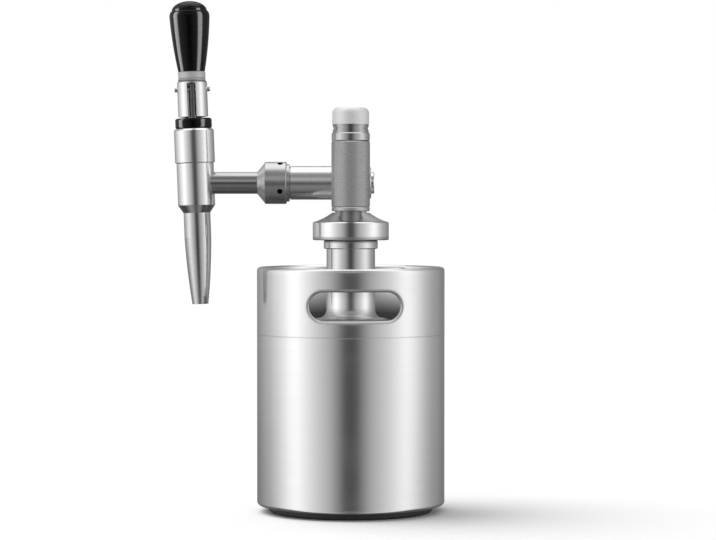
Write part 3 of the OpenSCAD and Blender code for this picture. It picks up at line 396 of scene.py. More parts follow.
# %% Handling marks
SMUDGE_RANGE, HAIR_RANGE = (0.42, 0.72), (0.7, 0.78)
HAIR_WAYS = (((0.3, 0.5, 0.4), (40, 2600, 2600)), ((0.9, -0.4, -0.7), (2400, 50, 2400)))
handling_marks, given, result = new_group(
    "handling_marks", [("Vector", "Vector", None), ("Size", "Float", 30.0)], ["Smudge", "Hairs"])
clouds = add(handling_marks, "TexNoise", Vector=given.outputs["Vector"],
             Scale=given.outputs["Size"], Detail=4.0, Roughness=0.55, Distortion=0.4)
fill(handling_marks, result.inputs["Smudge"],
     spread(handling_marks, clouds.outputs[0], *SMUDGE_RANGE))
hairs = []
for tilt, stretch in HAIR_WAYS:
    squeezed = add(handling_marks, "Mapping", Vector=given.outputs["Vector"], Rotation=tilt,
                   Scale=stretch)
    ridge = add(handling_marks, "TexNoise", Vector=squeezed.outputs[0], Scale=1.0, Detail=1.0)
    hairs.append(spread(handling_marks, ridge.outputs[0], *HAIR_RANGE))
fill(handling_marks, result.inputs["Hairs"], maths(handling_marks, "MAXIMUM", *hairs))
print("handling marks:", len(handling_marks.nodes), "nodes")

# %% [markdown]
# ### Moulded grain
# Rubber and plastic copy the skin of their mould: a fine pebble with a little dust in it. The
# pebbles are far too small to model, so one noise makes their relief and another the dust.

# %% Moulded grain
PEBBLE_RANGE, DUST_RANGE, DUST_SCALE = (0.3, 0.7), (0.5, 0.8), 180.0
moulded_grain, given, result = new_group(
    "moulded_grain", [("Vector", "Vector", None), ("Density", "Float", 1500.0)],
    ["Pebble", "Dust"])
pebble = add(moulded_grain, "TexNoise", Vector=given.outputs["Vector"],
             Scale=given.outputs["Density"], Detail=2.0)
fill(moulded_grain, result.inputs["Pebble"],
     spread(moulded_grain, pebble.outputs[0], *PEBBLE_RANGE))
dust = add(moulded_grain, "TexNoise", Vector=given.outputs["Vector"], Scale=DUST_SCALE, Detail=5.0,
           Roughness=0.7)
fill(moulded_grain, result.inputs["Dust"], spread(moulded_grain, dust.outputs[0], *DUST_RANGE))
print("moulded grain:", len(moulded_grain.nodes), "nodes")

# %% [markdown]
# ## The axes of the turned pieces
# The pieces are turned about five axes: the keg, the gas post, the drink's way through the
# cap, the arm and the leaning tap. Each piece could be made at the origin and moved to its
# place, and its pattern would move with it. The solids already have their place in their
# mesh, so a Mapping node moves the pattern's origin to the piece's own axis instead.

# %% The five axes
GAS_Y, ARM_Y, ARM_Z, TAP_X = -0.0175, 0.010, 0.2364, -0.112
TAP_LEAN = math.radians(2.1)
AXES = {
    "keg": ((0, 0, 0), (0, 0, 0)),
    "gas": ((0, GAS_Y, 0), (0, 0, 0)),
    "drink": ((0, ARM_Y, 0), (0, 0, 0)),
    "arm": ((0, ARM_Y, ARM_Z), (0, math.pi / 2, 0)),
    "tap": ((TAP_X, ARM_Y, ARM_Z), (0, -TAP_LEAN, 0)),
}


def on_axis(tree, axis):
    """Object coordinates, moved and turned so that Z runs along a piece's own axis."""
    place, tilt = AXES[axis]
    mapping = add(tree, "Mapping", {"vector_type": "TEXTURE"}, Location=place, Rotation=tilt,
                  Vector=add(tree, "TexCoord").outputs["Object"])
    return mapping.outputs[0]


print("axes:", ", ".join(AXES))

# %% [markdown]
# ## The steel recipe
# All the steel of the keg is one metal. What differs is how it was worked: how dark it is, how
# finely it was turned and how well it was polished. More than twenty materials could be built
# one by one. One recipe serves for all of them, and a value that isn't given is the usual one.
# A zone is a band of a piece with a finish of its own. Satin sheet smears its reflections in
# one direction, which the shader calls anisotropy.

# %% Steel recipe
HAIR_ROUGHNESS, RELIEF, QUARTER_TURN = 0.04, 0.02, 0.25


def steel(name, axis, dark, light, roughness, line_swing=0.05, smudge_swing=0.05, density=3600,
          bump=0.08, anisotropy=0.0, metallic=1.0, zones=()):
    """Turned and polished steel: fine lines round the axis, faint smudges and hair scratches.
    Each zone gives the height where it begins and the height where it is complete, both in
    millimetres, and then its own tone and roughness."""
    material, tree, shader = new_finish(name)
    spot = on_axis(tree, axis)
    lines = use_group(tree, turned_lines, Vector=spot, Density=density).outputs["Lines"]
    marks = use_group(tree, handling_marks, Vector=spot).outputs
    tone = mix_colour(tree, lines, grey(dark), grey(light))
    rough = maths(tree, "MULTIPLY_ADD", lines, line_swing, roughness)
    for begin, complete, zone_tone, zone_rough in zones:
        height = add(tree, "SeparateXYZ", Vector=add(tree, "TexCoord").outputs["Object"])
        share = spread(tree, height.outputs["Z"], begin * MM, complete * MM)
        tone = mix_colour(tree, share, tone, grey(zone_tone))
        rough = maths(tree, "MULTIPLY_ADD", share, zone_rough - roughness, rough)
    rough = maths(tree, "MULTIPLY_ADD", marks["Smudge"], smudge_swing, rough)
    rough = maths(tree, "MULTIPLY_ADD", marks["Hairs"], HAIR_ROUGHNESS, rough)
    fill(tree, shader.inputs["Base Color"], tone)
    fill(tree, shader.inputs["Roughness"], rough)
    relief = add(tree, "Bump", Height=lines, Strength=bump, Distance=RELIEF * MM)
    fill(tree, shader.inputs["Normal"], relief.outputs[0])
    shader.inputs["Metallic"].default_value = metallic
    if anisotropy:
        shader.inputs["Anisotropic"].default_value = anisotropy
        shader.inputs["Anisotropic Rotation"].default_value = QUARTER_TURN
        brushed = add(tree, "Tangent", {"direction_type": "RADIAL", "axis": "Z"})
        fill(tree, shader.inputs["Tangent"], brushed.outputs[0])
    return material


print("recipe ready: steel")

# %% [markdown]
# ### Sheet steel
# The keg's wall is satin. Inside the collar no belt reaches the sheet, so it stays dull, and it is
# painted darker towards the dome, as painted shade. The slot's lip keeps the grey of the press
# tool, and the seam that of the grinding wheel. The neck is painted lighter low down, as a painted
# reflection of the bright inside of the collar, and darker just under the cap, as painted shade.
# The hollow round the neck could be darkened by the light alone, but that would darken the cap
# above it too, so the sheet has painted shade there: the dome is a dark grey, darkest in the
# corner at the wall.

# %% Sheet finishes
satin_keg = steel("satin_keg_steel", "keg", 0.72, 0.76, 0.175, line_swing=0.03, smudge_swing=0.04,
                  density=2600, bump=0.04, anisotropy=0.4)
# Painted shade: the inside of the collar turns dark towards the dome.
inside_steel = steel("dull_inside_painted_shade", "keg", 0.7, 0.78, 0.26, line_swing=0.08,
                     smudge_swing=0.08, density=1800, bump=0.1, zones=[(158, 140, 0.13, 0.55)])
lip_steel = steel("pressed_lip_steel", "keg", 0.52, 0.58, 0.42, line_swing=0.06,
                  smudge_swing=0.06, density=1800, bump=0.1)
# Painted shade: the dome is a dark grey, darkest in its corner at the wall; the neck's weld shares
# it.
dome_shade_steel = steel("dull_dome_painted_shade", "keg", 0.22, 0.28, 0.34, line_swing=0.08,
                   smudge_swing=0.08, density=1200, bump=0.1, zones=[(136, 131, 0.05, 0.5)])
# Painted shade just under the cap, a painted reflection that makes the neck lighter low down, and
# a duller, darker flared foot.
neck_steel = steel("neck_steel_painted_light", "keg", 0.56, 0.64, 0.12, zones=[
    (192.8, 193.8, 0.45, 0.3), (159, 153, 0.74, 0.14), (147, 143, 0.5, 0.3)])
seam_steel = steel("ground_seam_steel", "keg", 0.58, 0.64, 0.24, smudge_swing=0.04, density=2600,
                   bump=0.06)
sheet_finishes = [satin_keg, inside_steel, lip_steel, dome_shade_steel, neck_steel, seam_steel]
print("sheet:", ", ".join(finish.name for finish in sheet_finishes))

# %% [markdown]
# ### Fittings
# The cap, the arm and the pieces in them are turned from bar and polished on a wheel. The cap's
# flat top and the hollow under its shoulder are hard to reach and stay duller, and they are
# painted darker too, as painted shade under the holder. A band at the cap's lower edge is painted
# darker, as painted shade above the neck's ring. The shank and the valve's stem are darker, and
# the nut is satin, for a better grip. The small hidden pieces share one polished finish, made
# once for each axis.

# %% Fitting finishes
polished = {axis: steel("polished_steel_" + axis, axis, 0.70, 0.78, 0.12)
            for axis in ("gas", "drink", "arm", "tap")}
# Painted shade: the top under the holder is darker, and so is a band at the lower edge.
cap_steel = steel("polished_cap_steel", "keg", 0.70, 0.78, 0.12, zones=[
    (208.4, 209, 0.52, 0.42), (198.2, 197.2, 0.46, 0.3)])
arm_steel = steel("polished_arm_steel", "arm", 0.70, 0.76, 0.2, bump=0.06)
shank_steel = steel("dark_shank_steel", "arm", 0.42, 0.48, 0.18, line_swing=0.04, bump=0.06)
nut_steel = steel("satin_nut_steel", "arm", 0.5, 0.56, 0.24, density=3000)
stem_steel = steel("dark_stem_steel", "tap", 0.2, 0.26, 0.2, density=3000)
charger_steel = steel("drawn_charger_steel", "gas", 0.66, 0.75, 0.2, density=2200, bump=0.1)
fitting_finishes = [cap_steel, arm_steel, shank_steel, nut_steel, stem_steel, charger_steel]
print("fittings:", ", ".join(finish.name for finish in fitting_finishes))

# %% [markdown]
# ### The holder and the tap
# The holder is a softer, greyer metal than the keg: its cap is blasted to a pale mat skin, its
# sleeve is turned, and its knurl is a darker grey. The sleeve's bead is painted lighter, as a
# painted highlight. Blasting breaks the mirror into tiny facets; a high roughness and a little
# less metal give that look without modelling them. On the tap, the ferrule is blasted too. The
# ferrule's foot, the yoke's top under it and the body's foot above the nozzle are painted darker,
# as painted shade where the parts meet.

# %% Holder and tap finishes
knurl_metal = steel("knurled_grip_metal", "gas", 0.33, 0.4, 0.24, smudge_swing=0.06, density=2600,
                    bump=0.1, metallic=0.8)
# Painted highlight: the bead under the band is lighter; the ring at the foot is a mat grey.
sleeve_metal = steel("ringed_sleeve_metal", "gas", 0.34, 0.4, 0.14, zones=[
    (272.4, 272, 0.48, 0.16), (224, 223, 0.5, 0.4)])
blasted_metal = steel("blasted_cap_metal", "gas", 0.74, 0.8, 0.5, line_swing=0.06,
                      smudge_swing=0.06, density=1400, bump=0.1, metallic=0.6)
ferrule_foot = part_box("ferrule")[0].z / MM
body_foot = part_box("faucet_body")[0].z / MM
# Painted shade: the ferrule's foot, where it meets the yoke.
ferrule_steel = steel("blasted_ferrule_steel", "tap", 0.5, 0.56, 0.48, density=1800, bump=0.1,
                      metallic=0.6, zones=[(ferrule_foot + 1.8, ferrule_foot + 1.2, 0.2, 0.5)])
# Painted shade: the yoke's top under the ferrule.
yoke_steel = steel("polished_yoke_steel", "tap", 0.70, 0.78, 0.12,
                   zones=[(ferrule_foot - 0.4, ferrule_foot, 0.26, 0.3)])
# Painted shade: the body's foot above the nozzle.
body_steel = steel("polished_body_steel", "tap", 0.70, 0.78, 0.12,
                   zones=[(body_foot + 6.4, body_foot + 5.6, 0.42, 0.24)])
nozzle_steel = steel("polished_nozzle_steel", "tap", 0.54, 0.62, 0.12)
print("ferrule from", round(ferrule_foot, 1), "mm, tap body from", round(body_foot, 1), "mm")

# %% [markdown]
# ## Spots of another tone
# Some places differ from the rest of their piece. Their faces could be picked by hand and
# given a second material. A mask finds each place by its distance from an axis and its place
# along it, and so it follows the numbers when a size changes.

# %% Spot helpers
def from_axis(tree, axis):
    """The distance from a piece's axis and the place along it."""
    place = add(tree, "SeparateXYZ", Vector=on_axis(tree, axis))
    across = add(tree, "CombineXYZ", X=place.outputs["X"], Y=place.outputs["Y"])
    length = add(tree, "VectorMath", {"operation": "LENGTH"})
    fill(tree, length.inputs[0], across.outputs[0])
    return length.outputs["Value"], place.outputs["Z"]


def repaint(tree, mask, level):
    """Mixes another tone into a finish where a mask is 1."""
    socket = tree.nodes["Principled BSDF"].inputs["Base Color"]
    fill(tree, socket, mix_colour(tree, mask, socket.links[0].from_socket, grey(level)))


print("helpers ready: from_axis, repaint")

# %% [markdown]
# ### The nut and the boss
# A hook spanner turns the collar nut by four small holes; their walls are painted nearly black,
# as painted shade. The nut's nose is painted lighter than its grip, as a painted highlight. The
# boss under the gas post is painted dark, as painted shade under the holder. Only the tone
# changes, so the lines and marks of the finish run on.

# %% Nut and boss
NUT_R, NUT_SKIN = 15.2, 0.3
HOLES_X, HOLE_R, HOLE_MARGIN, HOLE_SHADE_TONE = -50.9, 2.0, 0.2, 0.01
NOSE_X, NOSE_FADE, NOSE_HIGHLIGHT_TONE = -61.6, 0.4, 0.85
nut_tree = nut_steel.node_tree
nut_reach, nut_along = from_axis(nut_tree, "arm")
# Painted shade: the walls of the spanner holes are nearly black.
below = maths(nut_tree, "LESS_THAN", nut_reach, (NUT_R - NUT_SKIN) * MM)
beside = maths(nut_tree, "ABSOLUTE", maths(nut_tree, "SUBTRACT", nut_along, HOLES_X * MM))
near = maths(nut_tree, "LESS_THAN", beside, (HOLE_R + HOLE_MARGIN) * MM)
repaint(nut_tree, maths(nut_tree, "MULTIPLY", below, near), HOLE_SHADE_TONE)
# Painted highlight: the nose is lighter than the grip.
nose = spread(nut_tree, nut_along, NOSE_X * MM, (NOSE_X - NOSE_FADE) * MM)
repaint(nut_tree, nose, NOSE_HIGHLIGHT_TONE)

BOSS_R, BOSS_LOW, BOSS_SHADE_TONE = 8.2, 208.4, 0.26
cap_tree = cap_steel.node_tree
cap_reach, cap_along = from_axis(cap_tree, "gas")
# Painted shade: the boss under the holder is dark.
boss = maths(cap_tree, "MULTIPLY", maths(cap_tree, "LESS_THAN", cap_reach, BOSS_R * MM),
             maths(cap_tree, "GREATER_THAN", cap_along, BOSS_LOW * MM))
repaint(cap_tree, boss, BOSS_SHADE_TONE)
print("spanner holes at", HOLES_X, "mm along the arm, boss of", BOSS_R, "mm")

# %% [markdown]
# ## Rubber and plastic
# The handle and the rocking ring are moulded in black gloss plastic. The seals and the foot
# ring are black rubber, and the flow pieces inside the tap are white plastic. One recipe makes
# all three. The gloss black gets a low index of refraction on the shader itself: its mirror is
# then weak, and the handle stays a deep black beside the bright steel.

# %% Rubber and plastic
def moulded(name, dark, light, roughness, pebble_swing, density, bump):
    """Moulded rubber or plastic with a fine pebble and a little dust."""
    material, tree, shader = new_finish(name)
    spot = add(tree, "TexCoord").outputs["Object"]
    grain = use_group(tree, moulded_grain, Vector=spot, Density=density).outputs
    fill(tree, shader.inputs["Base Color"],
         mix_colour(tree, grain["Dust"], grey(dark), grey(light)))
    fill(tree, shader.inputs["Roughness"],
         maths(tree, "MULTIPLY_ADD", grain["Pebble"], pebble_swing, roughness))
    relief = add(tree, "Bump", Height=grain["Pebble"], Strength=bump, Distance=RELIEF * MM)
    fill(tree, shader.inputs["Normal"], relief.outputs[0])
    return material


GLOSS_IOR = 1.25
black_rubber = moulded("black_rubber", 0.018, 0.035, 0.5, 0.2, 1800, 0.3)
white_plastic = moulded("white_flow_plastic", 0.78, 0.7, 0.4, 0.1, 1500, 0.1)
gloss_black = moulded("gloss_black_plastic", 0.0006, 0.0015, 0.12, 0.03, 900, 0.02)
gloss_black.node_tree.nodes["Principled BSDF"].inputs["IOR"].default_value = GLOSS_IOR
print("moulded:", black_rubber.name, white_plastic.name, gloss_black.name)

# %% [markdown]
# ## Dressing the solids
# Most solids already have the right shape and need only a finish. A material could be chosen
# for each object by hand. A table of finishes and their pieces is easier to read, and shows at
# once which pieces are made of the same stuff. The solids that a new piece will stand for are
# in it too, so that none is left bare.

# %% Dress the solids
DRESS = {
    satin_keg: ["keg_base", "keg_wall", "handle_collar"],
    dome_shade_steel: ["keg_dome"],
    neck_steel: ["keg_neck"],
    cap_steel: ["cap"],
    polished["gas"]: ["gas_post", "piercing_pin"],
    blasted_metal: ["holder_cap"],
    polished["drink"]: ["dip_tube"],
    polished["arm"]: ["vent_bush", "vent_button", "vent_poppet", "vent_spring"],
    arm_steel: ["arm"],
    shank_steel: ["shank"],
    polished["tap"]: ["bonnet", "pivot_pin", "restrictor_plate"],
    body_steel: ["faucet_body"],
    nozzle_steel: ["nozzle"],
    yoke_steel: ["lever_yoke"],
    ferrule_steel: ["ferrule"],
    stem_steel: ["valve_stem"],
    nut_steel: ["collar_nut"],
    knurl_metal: ["holder_grip"],
    sleeve_metal: ["holder_sleeve"],
    charger_steel: ["charger"],
    black_rubber: ["foot_ring", "cap_gasket", "charger_seal", "check_flap", "arm_seal",
                   "shank_washer", "stem_packing", "vent_washer", "valve_plug", "holder_pad"],
    gloss_black: ["handle_knob", "cam_ring"],
    white_plastic: ["valve_seat", "flow_straightener"],
}
for material, names in DRESS.items():
    for name in names:
        for slot in nodes[name].material_slots:
            slot.material = material
print("dressed", sum(len(names) for names in DRESS.values()), "solids")

# %% [markdown]
# ## Strip lights for the black pieces
# Black gloss gives back only about a hundredth of the light that falls straight on it, so the
# white panels of the room leave it almost dark. Brighter panels would spoil the steel. A
# photographer puts a bright strip close by on each side, and flags keep its light off the
# rest. Light linking does the flags' work: each strip reaches only the two black pieces.

# %% Strip lights
STRIP_W, STRIP_H, STRIP_AWAY, STRIP_RADIANCE = 0.36, 1.2, 0.7, 18
STRIP_ANGLES = {"left": -86, "right": 67}
HANDLE_MIDDLE = Vector((-0.113, ARM_Y, 0.32))
black_pieces = bpy.data.collections.new("black_pieces")
for name in ("handle_knob", "cam_ring"):
    black_pieces.objects.link(nodes[name])
for side, degrees in STRIP_ANGLES.items():
    strip_data = bpy.data.lights.new("strip_" + side, "AREA")
    strip_data.shape = "RECTANGLE"
    strip_data.size, strip_data.size_y = STRIP_W, STRIP_H
    strip_data.energy = STRIP_RADIANCE * math.pi * STRIP_W * STRIP_H
    strip = bpy.data.objects.new("strip_" + side, strip_data)
    away = Vector((math.sin(math.radians(degrees)), -math.cos(math.radians(degrees)), 0))
    strip.location = HANDLE_MIDDLE + away * STRIP_AWAY
    strip.rotation_euler = away.to_track_quat("Z", "Y").to_euler()
    strip.light_linking.receiver_collection = black_pieces
    scene.collection.objects.link(strip)

# %% [markdown]
# ## Turned pieces
# Most of this object comes off a lathe, so most new pieces are spun: an outline of a few
# points is turned once round an axis. A cylinder with loops cut into it would do as well, but
# the outline is what a turner's drawing shows. One helper draws an outline, one spins it, and
# one carries the mesh to the axis that it belongs to.

# %% Spin helpers
AXIS, CENTRE = (0, 0, 1), (0, 0, 0)


def draw_outline(shell, outline):
    """Draws a closed outline of radius and height, in millimetres, beside the Z axis."""
    corners = [shell.verts.new((radius * MM, 0, height * MM)) for radius, height in outline]
    return corners + [shell.edges.new(pair) for pair in zip(corners, corners[1:] + corners[:1])]


def spun(outline, steps=96):
    """Turns an outline once round the Z axis."""
    shell = bmesh.new()
    bmesh.ops.spin(shell, geom=draw_outline(shell, outline), axis=AXIS, cent=CENTRE, steps=steps,
                   angle=math.tau, use_merge=True)
    return shell


def carry(shell, axis):
    """Moves a mesh that was made on the Z axis to one of the object's own axes."""
    place, tilt = AXES[axis]
    matrix = Matrix.Translation(place) @ Euler(tilt).to_matrix().to_4x4()
    bmesh.ops.transform(shell, matrix=matrix, verts=shell.verts)


print("helpers ready: draw_outline, spun, carry")

# %% [markdown]
# ### Finishing a piece
# Every new piece needs the same last steps: doubles merged, faces turned outwards, smooth
# shading with sharp edges, its finishes, and a body to ride on. They could be repeated for each
# piece. One helper keeps them in the same order, so that none is forgotten.

# %% Piece helper
MERGE = 1e-6


def make_piece(shell, name, finishes, body, slot, *replaced, crease=28):
    """Closes the mesh, shades it, ties it to its body and hides the solids it stands for."""
    bmesh.ops.remove_doubles(shell, verts=shell.verts, dist=MERGE)
    bmesh.ops.recalc_face_normals(shell, faces=shell.faces)
    mesh = bpy.data.meshes.new(name)
    shell.to_mesh(mesh)
    shell.free()
    mesh.shade_smooth()
    mesh.set_sharp_from_angle(angle=math.radians(crease))
    for finish in finishes:
        mesh.materials.append(finish)
    piece = bpy.data.objects.new(name, mesh)
    scene.collection.objects.link(piece)
    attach(piece, body)
    if replaced:
        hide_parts(*replaced)
    print(name, "has", len(mesh.polygons), "faces")
    return piece


print("helper ready: make_piece")

# %% [markdown]
# ## The knurled grip
# Two wheels pressed into the turning holder leave crossed grooves, and small pyramids stand
# between them. A bump texture could fake them, but they would vanish at the outline. Here the
# grip is spun with fine rows and columns. Every second crossing, as on a chessboard, is pressed
# in, and each square is split along its shorter diagonal, between the low corners. These join
# into two sets of slanting grooves.

# %% Knurled grip
KNURL_COLUMNS, KNURL_ROW, KNURL_DEPTH = 144, 0.6, 0.1
GRIP_R, GRIP_CORE_R, GRIP_BEVEL = 13.75, 12.45, 0.6
SKIN_POINTS_R, SKIN_FACES_R = GRIP_R - 0.1, GRIP_R - 0.5
grip_low, grip_high = (corner.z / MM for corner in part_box("holder_grip"))
knurl_low, knurl_high = grip_low + GRIP_BEVEL, grip_high - GRIP_BEVEL
knurl_rows = round((knurl_high - knurl_low) / KNURL_ROW)
knurl_step = (knurl_high - knurl_low) / knurl_rows
grip = spun(
    [(GRIP_CORE_R, grip_low), (GRIP_R - GRIP_BEVEL, grip_low)]
    + [(GRIP_R, knurl_low + row * knurl_step) for row in range(knurl_rows + 1)]
    + [(GRIP_R - GRIP_BEVEL, grip_high), (GRIP_CORE_R, grip_high)],
    KNURL_COLUMNS,
)
pressed = 1 - KNURL_DEPTH / GRIP_R
for vert in grip.verts:
    column = round(math.atan2(vert.co.y, vert.co.x) / math.tau * KNURL_COLUMNS)
    row = round((vert.co.z / MM - knurl_low) / knurl_step)
    if vert.co.xy.length > SKIN_POINTS_R * MM and (column + row) % 2:
        vert.co = (vert.co.x * pressed, vert.co.y * pressed, vert.co.z)
skin = [face for face in grip.faces if face.calc_center_median().xy.length > SKIN_FACES_R * MM]
bmesh.ops.triangulate(grip, faces=skin, quad_method="SHORT_EDGE")
carry(grip, "gas")
grip_piece = make_piece(grip, "knurled_grip", [knurl_metal], "holder", "knurled_metal",
                        "holder_grip", crease=12)

# %% [markdown]
# ## Screw threads
# The neck's thread shows when the cap is lifted off, and the gas post's when the holder is
# screwed up. A Screw modifier could wind them. The spin operator does it too, when each step
# also moves the ridge up a little, and then core and ridge are one mesh. The core of the piece
# is turned thinner by the thread's depth.

# %% Thread helper
THREAD_ROOT, THREAD_CREST, THREAD_SINK = 0.45, 0.12, 0.2


def cut_thread(shell, core_r, crest_r, low, high, pitch, steps=48):
    """Winds a ridge round a core; its two ends are closed."""
    turns = (high - low - pitch) / pitch
    root, crest, middle = THREAD_ROOT * pitch, THREAD_CREST * pitch, low + pitch / 2
    profile = draw_outline(shell, [
        (core_r - THREAD_SINK, middle - root), (crest_r, middle - crest),
        (crest_r, middle + crest), (core_r - THREAD_SINK, middle + root)])
    bmesh.ops.spin(shell, geom=profile, axis=AXIS, cent=CENTRE, dvec=(0, 0, pitch * MM / steps),
                   steps=round(turns * steps), angle=turns * math.tau)
    open_edges = [edge for edge in shell.edges if edge.is_boundary]
    bmesh.ops.holes_fill(shell, edges=open_edges, sides=4)


print("helper ready: cut_thread")

# %% [markdown]
# ### The neck
# The neck is a tube with a flared foot, a ring that stops the cap, and a thread above the
# ring. A Bevel modifier could break its edges. In an outline each small bevel is only one more
# point, so the neck is finished when it is spun.

# %% Threaded neck
NECK_R, NECK_BORE_R, NECK_FOOT_Z = 17.5, 16.0, 136.0
FLARE_R, FLARE_FOOT_R, FLARE_Z, FLARE_GAP, FLARE_STEPS = 6.5, 24.0, 138.9, 0.15, 12
NECK_RING_R, NECK_RING_LOW, NECK_RING_HIGH = 19.5, 189.0, 195.0
NECK_THREAD_R, NECK_CORE_R, NECK_TOP, NECK_STEPS = 18.0, 17.2, 206.0, 128
NECK_THREAD_LOW, NECK_THREAD_HIGH, NECK_PITCH = 195.8, 205.3, 3.0
EDGE = 0.6
flare_turns = [math.radians(90 * step / FLARE_STEPS) for step in range(FLARE_STEPS + 1)]
flare = [(FLARE_FOOT_R - FLARE_R * math.sin(a), FLARE_Z + FLARE_R * (1 - math.cos(a)))
         for a in flare_turns]
neck = spun(
    [(NECK_BORE_R, NECK_FOOT_Z), (NECK_R, NECK_FOOT_Z), (NECK_R, FLARE_Z + FLARE_GAP),
     (FLARE_FOOT_R, FLARE_Z - EDGE)]
    + flare
    + [(NECK_R, NECK_RING_LOW), (NECK_RING_R - EDGE, NECK_RING_LOW),
       (NECK_RING_R, NECK_RING_LOW + EDGE), (NECK_RING_R, NECK_RING_HIGH - EDGE),
       (NECK_RING_R - EDGE, NECK_RING_HIGH), (NECK_CORE_R, NECK_RING_HIGH),
       (NECK_CORE_R, NECK_TOP - EDGE), (NECK_CORE_R - EDGE, NECK_TOP), (NECK_BORE_R, NECK_TOP)],
    NECK_STEPS,
)
cut_thread(neck, NECK_CORE_R, NECK_THREAD_R, NECK_THREAD_LOW, NECK_THREAD_HIGH, NECK_PITCH)
make_piece(neck, "threaded_neck", [neck_steel], "keg", "polished_steel", "keg_neck")

# %% [markdown]
# ### The gas post
# The holder is screwed onto the post, which takes the charger's neck in its recess and leads
# the gas down through its bore. Booleans could cut the bore and the recess. All of them are
# round, so one outline holds them too.

# %% Threaded post
POST_R, POST_CORE_R, POST_LOW, POST_HIGH = 10.4, 9.8, 216.0, 227.0
POST_COLLAR, POST_STEP = 1.2, 1.8
POST_THREAD_LOW, POST_THREAD_HIGH, POST_PITCH = 217.6, 226.6, 1.5
SPIGOT_R, SPIGOT_LOW, GAS_BORE_R = 4.0, 212.0, 1.0
PIN_ROOT_R, PIN_ROOT_LOW, RECESS_R, RECESS_LOW = 2.05, 217.0, 4.7, 220.3
post = spun([
    (GAS_BORE_R, SPIGOT_LOW), (SPIGOT_R, SPIGOT_LOW), (SPIGOT_R, POST_LOW),
    (POST_R - EDGE, POST_LOW), (POST_R, POST_LOW + EDGE), (POST_R, POST_LOW + POST_COLLAR),
    (POST_CORE_R, POST_LOW + POST_STEP), (POST_CORE_R, POST_HIGH - EDGE),
    (POST_CORE_R - EDGE, POST_HIGH), (RECESS_R, POST_HIGH), (RECESS_R, RECESS_LOW),
    (PIN_ROOT_R, RECESS_LOW), (PIN_ROOT_R, PIN_ROOT_LOW), (GAS_BORE_R, PIN_ROOT_LOW),
])
cut_thread(post, POST_CORE_R, POST_R, POST_THREAD_LOW, POST_THREAD_HIGH, POST_PITCH)
carry(post, "gas")
make_piece(post, "threaded_post", [polished["gas"]], "head", "polished_steel", "gas_post")

# %% [markdown]
# ## The weld round the neck's foot
# The neck's flared foot is welded to the dome with a hand-held torch, which leaves a row of
# overlapping ripples like a stack of coins. Each coin could be a disc of its own. One rounded
# bead that is spun with many steps has no gaps: each ripple is raised by how far it is from
# the next joint.

# %% Neck weld
WELD_R, WELD_Z, WELD_WIDE, WELD_HIGH, WELD_SIDES = 24.6, 138.25, 1.5, 0.75, 12
RIPPLES, RIPPLE_STEPS, RIPPLE_LOW = 84, 6, 0.72
weld_turns = [math.tau * side / WELD_SIDES for side in range(WELD_SIDES)]
bead = spun(
    [(WELD_R + WELD_WIDE * math.cos(a), WELD_Z + WELD_HIGH * math.sin(a)) for a in weld_turns],
    RIPPLES * RIPPLE_STEPS,
)
for vert in bead.verts:
    ripple = math.atan2(vert.co.y, vert.co.x) / math.tau * RIPPLES
    swell = RIPPLE_LOW + (1 - RIPPLE_LOW) * abs(math.sin(math.pi * ripple))
    root = vert.co.xy.normalized() * WELD_R * MM
    vert.co = Vector((root.x, root.y, WELD_Z * MM)).lerp(vert.co, swell)
make_piece(bead, "neck_weld", [dome_shade_steel], "keg", "keg_steel", crease=60)

# %% [markdown]
# ## The vent's spring
# The button that lets the gas out is held up by a small wound spring. A curve with a round
# bevel could make it. The spin operator is used again: it sweeps a round wire section along
# the arm's axis in three runs, a closed turn at each end and open turns between.

# %% Vent spring
SPRING_R, WIRE_R, SPRING_LOW, SPRING_HIGH = 4.4, 0.25, 10.6, 14.2
WIRE_SIDES, SPRING_STEPS, END_TURNS, OPEN_TURNS = 10, 40, 0.75, 2.5
end_rise = 2 * WIRE_R
open_rise = SPRING_HIGH - SPRING_LOW - 2 * end_rise - 2 * WIRE_R
spring = bmesh.new()
section = bmesh.ops.create_circle(spring, segments=WIRE_SIDES, radius=WIRE_R * MM)["verts"]
stand_up = Matrix.Rotation(math.pi / 2, 4, "X")
to_start = Matrix.Translation((SPRING_R * MM, 0, (SPRING_LOW + WIRE_R) * MM))
bmesh.ops.transform(spring, matrix=to_start @ stand_up, verts=section)
wire_end = list(spring.verts) + list(spring.edges)
for run_turns, run_rise in ((END_TURNS, end_rise), (OPEN_TURNS, open_rise), (END_TURNS, end_rise)):
    run_steps = round(run_turns * SPRING_STEPS)
    swept = bmesh.ops.spin(spring, geom=wire_end, axis=AXIS, cent=CENTRE, steps=run_steps,
                           dvec=(0, 0, run_rise * MM / run_steps), angle=run_turns * math.tau)
    wire_end = swept["geom_last"]
wire_ends = [edge for edge in spring.edges if edge.is_boundary]
bmesh.ops.holes_fill(spring, edges=wire_ends, sides=WIRE_SIDES)
carry(spring, "arm")
wound = make_piece(spring, "wound_vent_spring", [polished["arm"]], "head", "polished_steel",
                   "vent_spring", crease=60)
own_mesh(wound)

# %% [markdown]
# ## The handle collar
# The collar is one strip of sheet with a rolled rim. It could be the solid's mesh with a finer
# edge, but that mesh is long loose triangles, which bend badly. The strip is spun anew, with
# even rows and columns, so that the slot can be cut into it in the next step.

